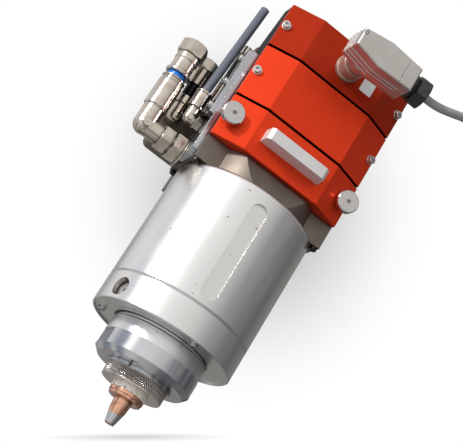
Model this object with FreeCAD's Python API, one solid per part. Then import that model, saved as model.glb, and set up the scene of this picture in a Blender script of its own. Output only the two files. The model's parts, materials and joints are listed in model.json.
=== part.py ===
# Laser bevel cutting head with optics housing, window drawer, nozzle and gas fittings.
# Millimetres. The beam runs down the Z axis, the front is -Y, and Z = 0 is the top mounting face.
import FreeCAD, Part
import math
import os

V = FreeCAD.Vector
os.makedirs("parts", exist_ok=True)

# Heights of the stack, from the top face down
upper_height = 35.9
middle_height = 42.3
drawer_height = 33.0
seam = 1.6
drawer_gap = 0.6
block_height = 18.0
barrel_height = 110.5
lower_ring_height = 21.4

# Barrel radius, which the wider parts follow
barrel_r = 52.0

# Section of the optics housing and its covers
half_front = 30.9
half_width = barrel_r + 1.7
front_y = -38.5
chamfer_depth = 9.9
cover_back_y = -25.0
cover_wall = 3.0
cover_pocket_half = half_width - 11.7
housing_inset = 0.3
housing_side_back = -4.0
housing_rear_start = 8.0
rear_half = 42.0
rear_y = 52.5
beam_bore_r = 18.0
corner_relief = 7.4
relief_top_y = -13.0
relief_drop = 34.0

# Top flange and rear plate
flange_half_x = 38.0
flange_half_y = 24.0
flange_corner = 6.0
flange_thick = 6.0
flange_bore_r = 14.0
flange_bolt_x = 31.0
flange_bolt_y = 17.0
flange_bolt_r = 3.3
flange_tap_r = 2.5
plate_half = 43.8
plate_thick = 7.5
plate_drop = 2.9
plate_hole_x = 36.0
plate_hole_spacing_z = 90.0
plate_hole_top = 32.0
plate_hole_r = 4.25

# Transition block
block_r = barrel_r - 8.6
block_wing_y = 25.0
block_flat_top_y = -34.9
block_flat_slope = 0.394
block_bore_r = 20.0
wing_screw_angle = 23.5
wing_screw_gap = 0.2
lug_reach = 26.6
lug_front_y = 20.0
lug_thick = 9.0
lug_top = -84.0
lug_rise = 4.0

# Barrel and lower ring
barrel_wall = 6.0
barrel_top_web = 9.0
barrel_fillet = 3.5
seam_groove = 1.0
pocket_width = 12.0
pocket_length = 74.0
pocket_depth = 2.0
pocket_angle = 266.9
pocket_bottom_gap = 4.6
rim_width = 1.6
recess_depth = 1.0
ring_bore_gap = 0.6
ring_cavity_r = barrel_r - 9.0
ring_floor = 4.0
adjust_hole_r = 6.6
adjust_bush_r = 5.4
adjust_head_r = 3.8
adjust_screw_r = 2.45
adjust_angle = 205.3
adjust_height = 9.3
adjust_hole_depth = 6.5
ring_screw_circle_r = barrel_r - 7.2
ring_screw_angle = -79.0

# Nozzle end
neck_r = 35.0
neck_height = 11.8
neck_band = 3.0
centring_flange_r = ring_cavity_r - 2.0
centring_flange_thick = 7.0
gas_bore_r = 9.0
steel_r = 35.3
steel_height = 14.6
steel_chamfer = 3.6
steel_bottom_r = 31.9
wrench_flat = 33.0
collar_r = 23.4
collar_height = 2.4
collar_notch_width = 5.0
collar_notch_depth = 3.0
collar_notch_angle = 238.0
knurl_r = 22.1
knurl_height = 8.0
knurl_gap = 0.05
knurl_teeth = 48
knurl_depth = 0.45
nut_bore_r = 12.9
ceramic_r = 12.6
ceramic_height = 4.0
ceramic_inside = 6.0
nozzle_flange_r = 12.3
nozzle_flange_height = 2.4
nozzle_step_r = 11.5
nozzle_step_height = 2.0
nozzle_cone_r = 6.3
nozzle_mid_r = 5.8
nozzle_tip_r = 3.3
nozzle_mid_height = 6.8
nozzle_cone_height = 17.6
nozzle_orifice_r = 0.8
nozzle_thread_r = 5.5
nozzle_thread_height = 5.0

# Window drawer
tray_half = 29.6
tray_height = 13.2
tray_length = 58.0
tray_clearance = 0.4
window_r = 19.0
window_thick = 2.5
window_aperture_r = 16.5
window_clearance = 0.15
retainer_height = 2.0
seal_section = 1.5
handle_length = 48.0
handle_height = 8.4
handle_depth = 12.0
handle_taper = 0.6
handle_bevel = 2.2
thumb_x = half_width - 4.1
thumb_disc_r = 8.0
thumb_disc_thick = 5.2
thumb_disc_front = 1.0
thumb_neck_r = 4.0
thumb_shank_r = 2.5
thumb_reach = 9.0
shaft_clearance = 0.05

# Cover screws
cover_screw_x = half_width - 3.3
screw_head_r = 2.75
screw_head_height = 2.6
screw_r = 1.5
screw_socket = 2.5
washer_r = 3.3
washer_thick = 0.5
screw_length = 12.0
lower_screw_length = 8.0

# Focusing drive behind the middle cover
carriage_height = 14.0
lens_r = 15.0
lens_thick = 6.0
lens_seat_lip = 2.0
spindle_y = -29.5
spindle_r = 2.0
nut_half_x = 5.5
nut_half_y = 4.0
nut_height = 8.0
drive_slot_half = 6.0
drive_slot_back = -10.0
motor_half = 8.0
motor_height = 9.0
bearing_height = 4.0
bearing_bore_gap = 0.05
collimator_r = 15.0
collimator_thick = 7.0
collimator_drop = 16.0
collimator_ring_height = 11.0

# Gas cone and clamp ring inside the barrel
cone_top_r = 19.0
cone_flange_r = 30.0
cone_flange_thick = 4.0
cone_bottom_r = 10.9
cone_wall = 2.0
cone_reach = 6.0
clamp_bore_r = 30.0
clamp_lip = 2.0

# Angled electrical connector
connector_x = 0.5
receptacle_r = 9.8
receptacle_thick = 1.4
receptacle_sleeve_r = 6.6
receptacle_bore_r = 5.0
coupling_r = 9.0
coupling_collar_r = 9.7
coupling_length = 13.2
hood_near = 23.5
hood_depth = 23.0
hood_left = -16.0
hood_shoulder = 5.0
hood_right = 32.0
hood_left_half = 6.7
hood_shoulder_half = 10.8
hood_right_half = 9.3
hood_neck_r = 10.2
hood_spigot_r = 4.8
hood_rib = 0.5
hood_lid_seam_x = 22.5
gland_dome_r = 9.4
gland_dome_length = 4.6
gland_hex = 20.0
gland_hex_length = 8.6
lead_r = 3.0
plug_r = 7.0
plug_length = 40.0

# Gas manifold and fittings on the left side
manifold_front_y = -22.0
manifold_depth = 30.0
manifold_bar_depth = 9.0
manifold_inner_thick = 4.2
manifold_outer_thick = 3.6
manifold_top = -44.5
manifold_ledge = -95.0
manifold_inner_bottom = -132.5
manifold_outer_bottom = -100.0
manifold_corner = 8.0
gas_z = -127.7
gas_y = 0.0
gas_ring_r = 11.5
gas_ring_length = 1.2
gas_hex = 19.0
gas_hex_length = 8.2
gas_collar_hex = 17.0
gas_collar_length = 9.3
gas_hex_turn = -18.0
gas_elbow_r = 7.5
gas_leg_r = 7.0
gas_elbow_reach = 36.2
gas_bore = 4.2
sleeve_r = 8.6
sleeve_bottom = -114.5
sleeve_length = 26.0
lock_ring_r = 6.4
lock_ring_height = 3.6
plug_flange_r = 9.0
plug_body_r = 7.9
plug_body_height = 12.6
plug_hex = 18.0
plug_hex_height = 11.6
plug_hex_corner = 1.4
plug_hex_turn = 7.0
small_y = -5.0
small_reach = 14.2
small_z = -106.5
small_hex = 10.0
small_hex_length = 5.5
small_elbow_r = 4.6
small_sleeve_r = 5.5
small_sleeve_height = 12.0
release_r = 6.1
release_height = 1.2
tube_r = 3.2
tube_bore_r = 2.0
tube_length = 79.0
tube_lean_x = 2.6
tube_lean_y = -3.0
sensor_reach = 5.0
sensor_y = 1.0
sensor_r = 3.4
sensor_stem_r = 3.0
sensor_stem = 11.0
sensor_ferrule_r = 3.8
sensor_low_ferrule = 20.0
sensor_length = 23.3
sensor_high_ferrule = 6.7

# Second gas fitting, on the lug behind the first
rear_reach = 20.1
rear_y_gap = 6.8
rear_z = -104.0
rear_leg_r = 5.0
rear_riser_top = -94.0
rear_body_r = 6.4
rear_hex = 14.0
rear_hex_height = 9.0

# Levels worked out from the stack
upper_bottom = -upper_height
middle_top = upper_bottom - seam
middle_bottom = middle_top - middle_height
drawer_top = middle_bottom - seam
drawer_bottom = drawer_top - drawer_height
block_top = drawer_bottom - drawer_gap
block_bottom = block_top - block_height
barrel_bottom = block_bottom - barrel_height
ring_top = barrel_bottom + lower_ring_height
neck_bottom = barrel_bottom - neck_height
steel_bottom = neck_bottom - steel_height
knurl_top = steel_bottom - collar_height
knurl_bottom = knurl_top - knurl_height
ceramic_bottom = knurl_bottom - ceramic_height
drawer_middle = (drawer_top + drawer_bottom) / 2
upper_middle = upper_bottom / 2
middle_middle = (middle_top + middle_bottom) / 2
housing_half = half_width - housing_inset
front_corner_y = front_y + chamfer_depth
chamfer_slope = chamfer_depth / (half_width - half_front)
chamfer_angle = math.atan(chamfer_slope)
body_left = -housing_half
ring_bore_r = neck_r + ring_bore_gap
wrench_flat_height = steel_height - steel_chamfer
gas_elbow_x = body_left - gas_elbow_reach
small_x = body_left - small_reach
sensor_x = body_left - sensor_reach
rear_x = body_left - rear_reach
wing_screw_r = barrel_r + screw_head_r + wing_screw_gap


def save(name, shape):
    """Writes one named piece."""
    shape.exportStep("parts/" + name + ".step")


def cylinder(r, z0, z1, x=0.0, y=0.0):
    """An upright cylinder between two levels."""
    return Part.makeCylinder(r, abs(z1 - z0), V(x, y, min(z0, z1)))


def rod(r, start, direction, length):
    """A cylinder from a point along a direction."""
    return Part.makeCylinder(r, length, V(*start), V(*direction))


def prism(points, z0, z1):
    """An upright prism over an outline in X and Y."""
    wire = Part.makePolygon([V(x, y, z0) for x, y in points + points[:1]])
    return Part.Face(wire).extrude(V(0, 0, z1 - z0))


def block(x0, x1, y0, y1, z0, z1):
    """A box between two corners."""
    return Part.makeBox(x1 - x0, y1 - y0, z1 - z0, V(x0, y0, z0))


def turned(profile):
    """A solid turned about Z from its outline in radius and height."""
    wire = Part.makePolygon([V(r, 0, z) for r, z in profile + profile[:1]])
    return Part.Face(wire).revolve(V(0, 0, 0), V(0, 0, 1), 360)


def aimed(shape, start, direction):
    """Moves a shape made along +Z from the origin to a point and a direction."""
    turn = FreeCAD.Rotation(V(0, 0, 1), V(*direction))
    shape.Placement = FreeCAD.Placement(V(*start), turn)
    return shape


def hexagon(across, length, corner=0.6, turn=0.0):
    """A hexagonal bar along +Z, its corners turned back at both ends."""
    r = across / 2 / math.cos(math.pi / 6)
    angles = [math.radians(60 * i + turn) for i in range(6)]
    bar = prism([(r * math.cos(a), r * math.sin(a)) for a in angles], 0, length)
    inner = r - 2 * corner
    round_off = turned([(0, 0), (inner, 0), (r, corner), (r, length - corner), (inner, length), (0, length)])
    return bar.common(round_off)


def polar(r, degrees):
    """X and Y of a point at a radius and an angle."""
    return r * math.cos(math.radians(degrees)), r * math.sin(math.radians(degrees))


def cap_screw(start, direction, shank, head_r=screw_head_r, head_h=screw_head_height, socket=screw_socket):
    """A socket cap screw whose head seats at a point and stands out along a direction."""
    head = cylinder(head_r, 0, head_h)
    head = head.makeChamfer(head_r * 0.1, [head.Edges[0]])
    head = head.cut(hexagon(socket, head_h, 0.1).translate(V(0, 0, head_h * 0.45)))
    body = cylinder(screw_r, -shank, 0)
    return aimed(head.fuse(body), start, direction)


def washer(start, direction):
    """A flat washer on a seat."""
    ring = cylinder(washer_r, 0, washer_thick).cut(cylinder(screw_r + 0.1, 0, washer_thick))
    return aimed(ring, start, direction)


def cover_outline():
    """Front section of the covers, from the left back corner to the right back corner."""
    return [
        (-half_width, cover_back_y),
        (-half_width, front_corner_y),
        (-half_front, front_y),
        (half_front, front_y),
        (half_width, front_corner_y),
        (half_width, cover_back_y),
    ]


def chamfer_y(x):
    """Y of the sloping cover face at a distance from the middle."""
    return front_y + (abs(x) - half_front) * chamfer_slope


def pocket_outline():
    """Section of the hollow behind a cover."""
    back_off = cover_wall / math.cos(chamfer_angle)
    knee = half_front - cover_wall * math.tan(chamfer_angle / 2)
    return [
        (-cover_pocket_half, cover_back_y),
        (-cover_pocket_half, chamfer_y(cover_pocket_half) + back_off),
        (-knee, front_y + cover_wall),
        (knee, front_y + cover_wall),
        (cover_pocket_half, chamfer_y(cover_pocket_half) + back_off),
        (cover_pocket_half, cover_back_y),
    ]


def cover_screw_seats():
    """Seat points and outward directions of the cover screws."""
    seats = []
    for z in (upper_middle, middle_middle):
        for side in (-1, 1):
            point = (side * cover_screw_x, chamfer_y(cover_screw_x), z)
            seats.append((point, (side * math.sin(chamfer_angle), -math.cos(chamfer_angle), 0)))
    return seats


def cover_screw_holes(clearance):
    """Holes for the cover screws, through the cover and into the housing."""
    reach = screw_length + 1
    holes = [rod(screw_r + clearance, p, [-c for c in d], reach) for p, d in cover_screw_seats()]
    return Part.makeCompound(holes)


def make_cover(z0, z1):
    """A front cover module: faceted shell, open at the back."""
    body = prism(cover_outline(), z0, z1)
    body = body.makeChamfer(0.4, [e for e in body.Edges if abs(e.BoundBox.ZLength) < 0.01
                                  and e.BoundBox.YMax < cover_back_y - 0.1])
    hollow = prism(pocket_outline(), z0 + cover_wall, z1 - cover_wall)
    return body.cut(hollow).cut(cover_screw_holes(0.1))


def housing_outline(inset=0.0):
    """Section of the optics housing behind the covers."""
    half = housing_half - inset
    rear = rear_half - inset
    return [
        (-half, cover_back_y),
        (half, cover_back_y),
        (half, housing_side_back),
        (rear, housing_rear_start),
        (rear, rear_y),
        (-rear, rear_y),
        (-rear, housing_rear_start),
        (-half, housing_side_back),
    ]


slot_top = drawer_middle + tray_height / 2 + tray_clearance
slot_bottom = drawer_middle - tray_height / 2 - tray_clearance
slot_half = tray_half + tray_clearance
slot_back = cover_back_y + tray_length + 4.0
drive_top = middle_top - cover_wall - 0.5
drive_bottom = middle_bottom + cover_wall + 0.5
motor_bottom = drive_top - motor_height
bearing_top = drive_bottom + bearing_height
carriage_z = (motor_bottom + bearing_top) / 2


def optics_housing():
    """Black housing with the beam bore, drawer slot, drive pocket and screw holes."""
    body = prism(housing_outline(), block_top, 0)
    body = body.cut(cylinder(beam_bore_r, block_top - 1, 1))
    body = body.cut(prism(flange_outline(), -flange_thick, 1))
    for x, y in flange_bolts():
        body = body.cut(cylinder(flange_tap_r, -flange_thick - 12, -flange_thick, x, y))
    body = body.cut(block(-slot_half, slot_half, cover_back_y - 1, slot_back, slot_bottom, slot_top))
    body = body.cut(block(-drive_slot_half, drive_slot_half, cover_back_y - 1, drive_slot_back, drive_bottom,
                          motor_bottom))
    thread = thumb_shank_r + shaft_clearance
    for side in (-1, 1):
        mouth = (side * thumb_x, cover_back_y - 1, drawer_middle)
        body = body.cut(rod(thread, mouth, (0, 1, 0), thumb_reach + 2))
        x0, x1 = sorted((side * (housing_half - corner_relief), side * (half_width + 1)))
        profile = [
            V(x0, relief_top_y, 1),
            V(x0, housing_side_back + 1, -relief_drop),
            V(x0, rear_y + 1, -relief_drop),
            V(x0, rear_y + 1, 1),
            V(x0, relief_top_y, 1),
        ]
        wedge = Part.Face(Part.makePolygon(profile)).extrude(V(x1 - x0, 0, 0))
        body = body.cut(wedge)
    return body.cut(cover_screw_holes(0.0))


def flange_outline():
    """Outline of the top flange, a rectangle with cut corners."""
    x, y, c = flange_half_x, flange_half_y, flange_corner
    lower = [(-x, c - y), (c - x, -y), (x - c, -y), (x, c - y)]
    return lower + [(px, -py) for px, py in reversed(lower)]


def flange_bolts():
    """Centres of the bolt holes in the top flange."""
    return [(sx * flange_bolt_x, sy * flange_bolt_y) for sx in (-1, 1) for sy in (-1, 1)]


def top_flange():
    """Aluminium flange that joins the head to the fibre unit or the machine's axis."""
    plate = prism(flange_outline(), -flange_thick, 0).cut(cylinder(flange_bore_r, -flange_thick, 0))
    for x, y in flange_bolts():
        plate = plate.cut(cylinder(flange_bolt_r, -flange_thick, 0, x, y))
    return plate


plate_bottom = block_bottom - plate_drop


def plate_holes():
    """Centres of the mounting holes in the rear plate."""
    rows = (-plate_hole_top, -plate_hole_top - plate_hole_spacing_z)
    return [(side * plate_hole_x, z) for side in (-1, 1) for z in rows]


def rear_plate():
    """Mounting plate across the back of the housing and the block."""
    plate = block(-plate_half, plate_half, rear_y, rear_y + plate_thick, plate_bottom, 0)
    for x, z in plate_holes():
        plate = plate.cut(rod(plate_hole_r, (x, rear_y - 1, z), (0, 1, 0), plate_thick + 2))
    return plate


def transition_block():
    """Grey block between housing and barrel: turned front, flat wings and a sloping front flat."""
    body = cylinder(block_r, block_bottom, block_top)
    body = body.fuse(block(-housing_half, housing_half, -block_wing_y, block_wing_y, block_bottom, block_top))
    body = body.fuse(block(-rear_half, rear_half, 0, rear_y, block_bottom, block_top))
    body = body.fuse(side_lug())
    foot_y = block_flat_top_y - block_flat_slope * block_height
    profile = [V(-block_r, block_flat_top_y, block_top), V(-block_r, foot_y, block_bottom),
               V(-block_r, -block_r - 9, block_bottom), V(-block_r, -block_r - 9, block_top),
               V(-block_r, block_flat_top_y, block_top)]
    body = body.cut(Part.Face(Part.makePolygon(profile)).extrude(V(2 * block_r, 0, 0)))
    body = body.cut(cylinder(block_bore_r, block_bottom, block_top))
    for x, y in wing_screws():
        body = body.cut(cylinder(screw_r, block_bottom, block_bottom + lower_screw_length + 1, x, y))
    port = rod(gas_bore, (body_left - 1, gas_y, gas_z), (1, 0, 0), housing_half - block_bore_r + 2)
    return body.removeSplitter().cut(port)


def side_lug():
    """Upright lug on the block's left side that carries the second gas fitting."""
    x0 = body_left - lug_reach
    lug = block(x0, body_left + 3, lug_front_y, lug_front_y + lug_thick, block_bottom + lug_rise, lug_top)
    corner = [e for e in lug.Edges if e.BoundBox.YLength > 1 and e.BoundBox.XMax < x0 + 0.01]
    lug = lug.makeFillet(5, corner)
    clear = block(body_left, 0, lug_front_y - 1, lug_front_y + lug_thick + 1, block_top, lug_top + 1)
    return lug.cut(clear)


def wing_screws():
    """Places of the screws under the wings of the transition block."""
    x, y = polar(wing_screw_r, wing_screw_angle)
    return [(sx * x, sy * y) for sx in (-1, 1) for sy in (-1, 1)]


def barrel():
    """Satin aluminium barrel with a rounded top edge and a long shallow pocket at the front."""
    z0 = ring_top
    z1 = block_bottom
    inner = barrel_r - barrel_wall
    web = z1 - barrel_top_web
    profile = [
        (block_bore_r, z1),
        (barrel_r, z1),
        (barrel_r, z0 + seam_groove),
        (barrel_r - seam_groove, z0),
        (inner, z0),
        (inner, web),
        (block_bore_r, web),
    ]
    body = turned(profile)
    rim = [e for e in body.Edges if e.BoundBox.ZLength < 0.01 and abs(e.BoundBox.ZMax - z1) < 0.01]
    rim = [e for e in rim if abs(e.BoundBox.XMax - barrel_r) < 0.01]
    body = body.makeFillet(barrel_fillet, rim)
    foot = z0 + pocket_bottom_gap
    half = pocket_width / 2
    floor = barrel_r - pocket_depth
    slot = block(-half, half, -barrel_r - 5, -floor, foot + half, foot + pocket_length - half)
    for z in (foot + half, foot + pocket_length - half):
        slot = slot.fuse(rod(half, (0, -floor, z), (0, -1, 0), pocket_depth + 5))
    slot.rotate(V(0, 0, 0), V(0, 0, 1), pocket_angle - 270)
    return body.cut(slot)


def adjuster_angles():
    """The two radial centring screws stand at right angles."""
    return (adjust_angle, adjust_angle - 90)


adjust_z = barrel_bottom + adjust_height


def lower_ring():
    """Lower ring of the barrel: shallow recess below, cavity for the centring flange above."""
    z0 = barrel_bottom
    z1 = ring_top
    floor = z0 + recess_depth
    profile = [
        (ring_bore_r + 2, floor + ring_floor),
        (ring_bore_r, floor + ring_floor),
        (ring_bore_r, floor),
        (barrel_r - rim_width, floor),
        (barrel_r - rim_width, z0),
        (barrel_r - 0.5, z0),
        (barrel_r, z0 + 0.5),
        (barrel_r, z1 - seam_groove),
        (barrel_r - seam_groove, z1),
        (ring_cavity_r, z1),
        (ring_cavity_r, floor + ring_floor),
    ]
    body = turned(profile)
    for angle in adjuster_angles():
        x, y = polar(1, angle)
        start = (barrel_r * x, barrel_r * y, adjust_z)
        body = body.cut(rod(adjust_hole_r, [1.1 * start[0], 1.1 * start[1], adjust_z], (-x, -y, 0),
                            0.1 * barrel_r + adjust_hole_depth))
        reach = barrel_r - ring_cavity_r + 1
        body = body.cut(rod(adjust_screw_r + shaft_clearance, start, (-x, -y, 0), reach))
    for x, y in ring_screw_places():
        body = body.cut(cylinder(screw_r, floor, floor + lower_screw_length + 1, x, y))
    return body


def ring_screw_places():
    """Three screws on a circle under the lower ring."""
    return [polar(ring_screw_circle_r, ring_screw_angle + 120 * i) for i in range(3)]


def neck_ring():
    """Neck of the nozzle holder with its centring flange inside the lower ring."""
    floor = barrel_bottom + recess_depth + ring_floor + shaft_clearance
    band = barrel_bottom + recess_depth - neck_band
    profile = [
        (gas_bore_r + 3, floor + centring_flange_thick),
        (centring_flange_r, floor + centring_flange_thick),
        (centring_flange_r, floor),
        (neck_r - 1.2, floor),
        (neck_r - 1.2, band + 1.2),
        (neck_r, band),
        (neck_r, neck_bottom),
        (gas_bore_r, neck_bottom),
        (gas_bore_r, floor),
        (gas_bore_r + 3, floor),
    ]
    return turned(profile)


def steel_ring():
    """Polished steel body under the neck: chamfered rim, two wrench flats and a spigot for the nut."""
    z1 = neck_bottom
    z0 = steel_bottom
    spigot = nut_thread_r
    profile = [
        (gas_bore_r, z1),
        (steel_r, z1),
        (steel_r, z0 + steel_chamfer),
        (steel_bottom_r, z0),
        (collar_r, z0),
        (collar_r, knurl_top + knurl_gap),
        (spigot, knurl_top + knurl_gap),
        (spigot, ceramic_top + knurl_gap),
        (gas_bore_r, ceramic_top + knurl_gap),
    ]
    body = turned(profile)
    for side in (-1, 1):
        x0, x1 = sorted((side * wrench_flat, side * (steel_r + 1)))
        body = body.cut(block(x0, x1, -steel_r, steel_r, z1 - wrench_flat_height, z1))
    half = collar_notch_width / 2
    notch = block(collar_r - collar_notch_depth, collar_r + 1, -half, half, knurl_top - 1, z0)
    notch.rotate(V(0, 0, 0), V(0, 0, 1), collar_notch_angle)
    return body.cut(notch)


nut_thread_r = 17.0
ceramic_top = knurl_bottom + ceramic_inside


def clamping_nut():
    """Knurled nut that clamps the ceramic ring."""
    lip = 2.0
    wall = nut_thread_r + shaft_clearance
    profile = [
        (wall, knurl_top),
        (knurl_r - 0.5, knurl_top),
        (knurl_r, knurl_top - 0.5),
        (knurl_r, knurl_bottom + 0.5),
        (knurl_r - 0.5, knurl_bottom),
        (nut_bore_r, knurl_bottom),
        (nut_bore_r, knurl_bottom + lip),
        (wall, knurl_bottom + lip),
    ]
    body = turned(profile)
    notch_r = knurl_r * math.pi / knurl_teeth
    grooves = []
    for i in range(knurl_teeth):
        x, y = polar(knurl_r, 360 / knurl_teeth * i)
        ux, uy = polar(1, 360 / knurl_teeth * i)
        half = notch_r * 0.7
        points = [
            (x - ux * knurl_depth, y - uy * knurl_depth),
            (x + ux * knurl_depth - uy * half, y + uy * knurl_depth + ux * half),
            (x + ux * knurl_depth + uy * half, y + uy * knurl_depth - ux * half),
        ]
        grooves.append(prism(points, knurl_bottom - 1, knurl_top + 1))
    return body.cut(Part.makeCompound(grooves))


def ceramic_ring():
    """Ceramic insulator that carries the nozzle."""
    flange = 15.6
    step = knurl_bottom + 2.3
    bore = nozzle_thread_r + shaft_clearance
    profile = [
        (bore, ceramic_bottom),
        (ceramic_r - 0.4, ceramic_bottom),
        (ceramic_r, ceramic_bottom + 0.4),
        (ceramic_r, step),
        (flange, step),
        (flange, ceramic_top),
        (bore, ceramic_top),
    ]
    return turned(profile)


def nozzle():
    """Copper nozzle: flange, step, tapered cone with a blunt tip, threaded spigot and bore."""
    z = ceramic_bottom - 0.05
    flange = z - nozzle_flange_height
    step = flange - nozzle_step_height
    mid = step - nozzle_mid_height
    tip = step - nozzle_cone_height
    top = z + nozzle_thread_height
    profile = [
        (nozzle_thread_r - 1.3, top),
        (nozzle_thread_r, top),
        (nozzle_thread_r, z),
        (nozzle_flange_r, z),
        (nozzle_flange_r, flange + 0.3),
        (nozzle_step_r + 0.3, flange),
        (nozzle_step_r, step + 0.4),
        (nozzle_step_r - 0.6, step),
        (nozzle_cone_r, step),
        (nozzle_mid_r, mid),
        (nozzle_tip_r, tip),
        (nozzle_orifice_r, tip),
        (nozzle_orifice_r, tip + 2.5),
    ]
    return turned(profile)


centring_top = barrel_bottom + recess_depth + ring_floor + shaft_clearance + centring_flange_thick


def clamp_ring():
    """Ring on the lower ring's top that keeps the centring flange down."""
    profile = [
        (clamp_bore_r, centring_top + shaft_clearance),
        (ring_cavity_r - 0.1, centring_top + shaft_clearance),
        (ring_cavity_r - 0.1, ring_top),
        (barrel_r - barrel_wall - 0.1, ring_top),
        (barrel_r - barrel_wall - 0.1, ring_top + clamp_lip),
        (clamp_bore_r, ring_top + clamp_lip),
    ]
    return turned(profile)


def gas_cone():
    """Cone that leads beam and cutting gas from the block to the neck."""
    top = block_bottom - barrel_top_web
    foot = centring_top - cone_reach
    profile = [
        (cone_top_r - cone_wall, top),
        (cone_flange_r, top),
        (cone_flange_r, top - cone_flange_thick),
        (cone_top_r, top - cone_flange_thick),
        (cone_bottom_r, centring_top + 6),
        (cone_bottom_r, foot),
        (cone_bottom_r - cone_wall, foot),
        (cone_bottom_r - cone_wall, centring_top + 6),
    ]
    return turned(profile)


def gas_cone_seal():
    """Ring seal between the cone's end and the neck, which lets the neck be centred."""
    z = centring_top - cone_reach / 2
    return cylinder(gas_bore_r + 3, z - 1, z + 1).cut(cylinder(cone_bottom_r, z - 1, z + 1))


def window_tray():
    """Tray of the drawer with the seat for the protective window."""
    z0 = drawer_middle - tray_height / 2
    z1 = drawer_middle + tray_height / 2
    tray = block(-tray_half, tray_half, cover_back_y, cover_back_y + tray_length, z0, z1)
    upright = [e for e in tray.Edges if e.BoundBox.ZLength > 1 and e.BoundBox.YMax > 0]
    tray = tray.makeFillet(5, upright)
    seat = drawer_middle - window_thick / 2 - seal_section
    tray = tray.cut(cylinder(window_aperture_r, z0, z1))
    return tray.cut(cylinder(window_r + window_clearance, seat, z1))


def protective_window():
    """Flat window that keeps spatter off the lenses."""
    return cylinder(window_r, drawer_middle - window_thick / 2, drawer_middle + window_thick / 2)


def window_seal():
    """Ring seal under the protective window."""
    z = drawer_middle - window_thick / 2 - seal_section
    ring = cylinder(window_r, z, z + seal_section)
    return ring.cut(cylinder(window_r - 2, z, z + seal_section))


def window_retainer():
    """Threaded ring that holds the window down on its seal."""
    z = drawer_middle + window_thick / 2
    ring = cylinder(window_r, z, z + retainer_height)
    return ring.cut(cylinder(window_aperture_r, z, z + retainer_height))


def drawer_front():
    """Red front of the drawer, solid, with holes for the two thumb screws."""
    body = prism(cover_outline(), drawer_bottom, drawer_top)
    body = body.makeChamfer(0.4, [e for e in body.Edges if abs(e.BoundBox.ZLength) < 0.01
                                  and e.BoundBox.YMax < cover_back_y - 0.1])
    for side in (-1, 1):
        start = (side * thumb_x, front_y, drawer_middle)
        seat = chamfer_y(thumb_x) + 2.5 - front_y
        body = body.cut(rod(thumb_neck_r + shaft_clearance, start, (0, 1, 0), seat))
        body = body.cut(rod(thumb_shank_r + shaft_clearance, start, (0, 1, 0), cover_back_y - front_y))
    return body


def drawer_handle():
    """Bar handle with a slight draft and bevelled ends."""
    wires = []
    for y, grow in ((front_y, handle_taper), (front_y - handle_depth, 0)):
        x = handle_length / 2 + grow
        z = handle_height / 2 + grow
        corners = [(-x, -z), (x, -z), (x, z), (-x, z), (-x, -z)]
        wires.append(Part.makePolygon([V(cx, y, drawer_middle + cz) for cx, cz in corners]))
    bar = Part.makeLoft(wires, True)
    ends = [e for e in bar.Edges if e.BoundBox.YMax < front_y - 1 and e.BoundBox.XLength < 1]
    return bar.makeChamfer(handle_bevel, ends)


def thumb_screw(side):
    """Captive thumb screw: flat disc, neck, shank and a hexagon socket."""
    profile = [
        (0, 0),
        (thumb_disc_r - 0.6, 0),
        (thumb_disc_r, 0.6),
        (thumb_disc_r, thumb_disc_thick - 0.5),
        (thumb_disc_r - 0.5, thumb_disc_thick),
        (thumb_neck_r, thumb_disc_thick),
        (thumb_neck_r, chamfer_y(thumb_x) + 2.2 - front_y + thumb_disc_front),
        (thumb_shank_r, chamfer_y(thumb_x) + 2.2 - front_y + thumb_disc_front),
        (thumb_shank_r, cover_back_y + thumb_reach - front_y + thumb_disc_front),
        (0, cover_back_y + thumb_reach - front_y + thumb_disc_front),
    ]
    screw = turned(profile).cut(hexagon(3.0, 3.0, 0.1))
    return aimed(screw, (side * thumb_x, front_y - thumb_disc_front, drawer_middle), (0, 1, 0))


def lens(r, thick, z):
    """A biconvex lens with a flat edge."""
    edge = thick / 3
    bulge = (thick - edge) / 2
    sphere_r = (r * r + bulge * bulge) / (2 * bulge)
    body = cylinder(r, z - thick / 2, z + thick / 2)
    body = body.common(Part.makeSphere(sphere_r, V(0, 0, z + thick / 2 - sphere_r)))
    return body.common(Part.makeSphere(sphere_r, V(0, 0, z - thick / 2 + sphere_r)))


def lens_mount(outer, r, thick, z, height):
    """A ring that grips a lens by its rim."""
    ring = cylinder(outer, z - height / 2, z + height / 2)
    ring = ring.cut(cylinder(r - lens_seat_lip, z - height / 2, z + height / 2))
    return ring.cut(lens(r, thick, z))


def focus_carriage():
    """Sliding lens mount with an arm to the drive spindle."""
    outer = beam_bore_r - shaft_clearance
    ring = lens_mount(outer, lens_r, lens_thick, carriage_z, carriage_height)
    low = carriage_z - nut_height / 2
    high = carriage_z + nut_height / 2
    arm = block(-nut_half_x, nut_half_x, spindle_y - nut_half_y, -lens_r - 1, low, high)
    return ring.fuse(arm).cut(cylinder(spindle_r + shaft_clearance, low, high, 0, spindle_y))


def focus_spindle():
    """Drive spindle behind the middle cover."""
    return cylinder(spindle_r, drive_bottom + 0.5, motor_bottom, 0, spindle_y)


def focus_motor():
    """Small motor on top of the spindle, on the housing's front face."""
    return block(-motor_half, motor_half, spindle_y - nut_half_y, cover_back_y, motor_bottom, drive_top)


def spindle_bearing():
    """Bearing block at the foot of the spindle."""
    base = block(-motor_half, motor_half, spindle_y - nut_half_y, cover_back_y, drive_bottom, bearing_top)
    return base.cut(cylinder(spindle_r + bearing_bore_gap, drive_bottom, bearing_top, 0, spindle_y))


def connector_point(y):
    """A point on the connector's axis at a depth."""
    return (connector_x, y, connector_z)


connector_z = -18.9


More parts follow.
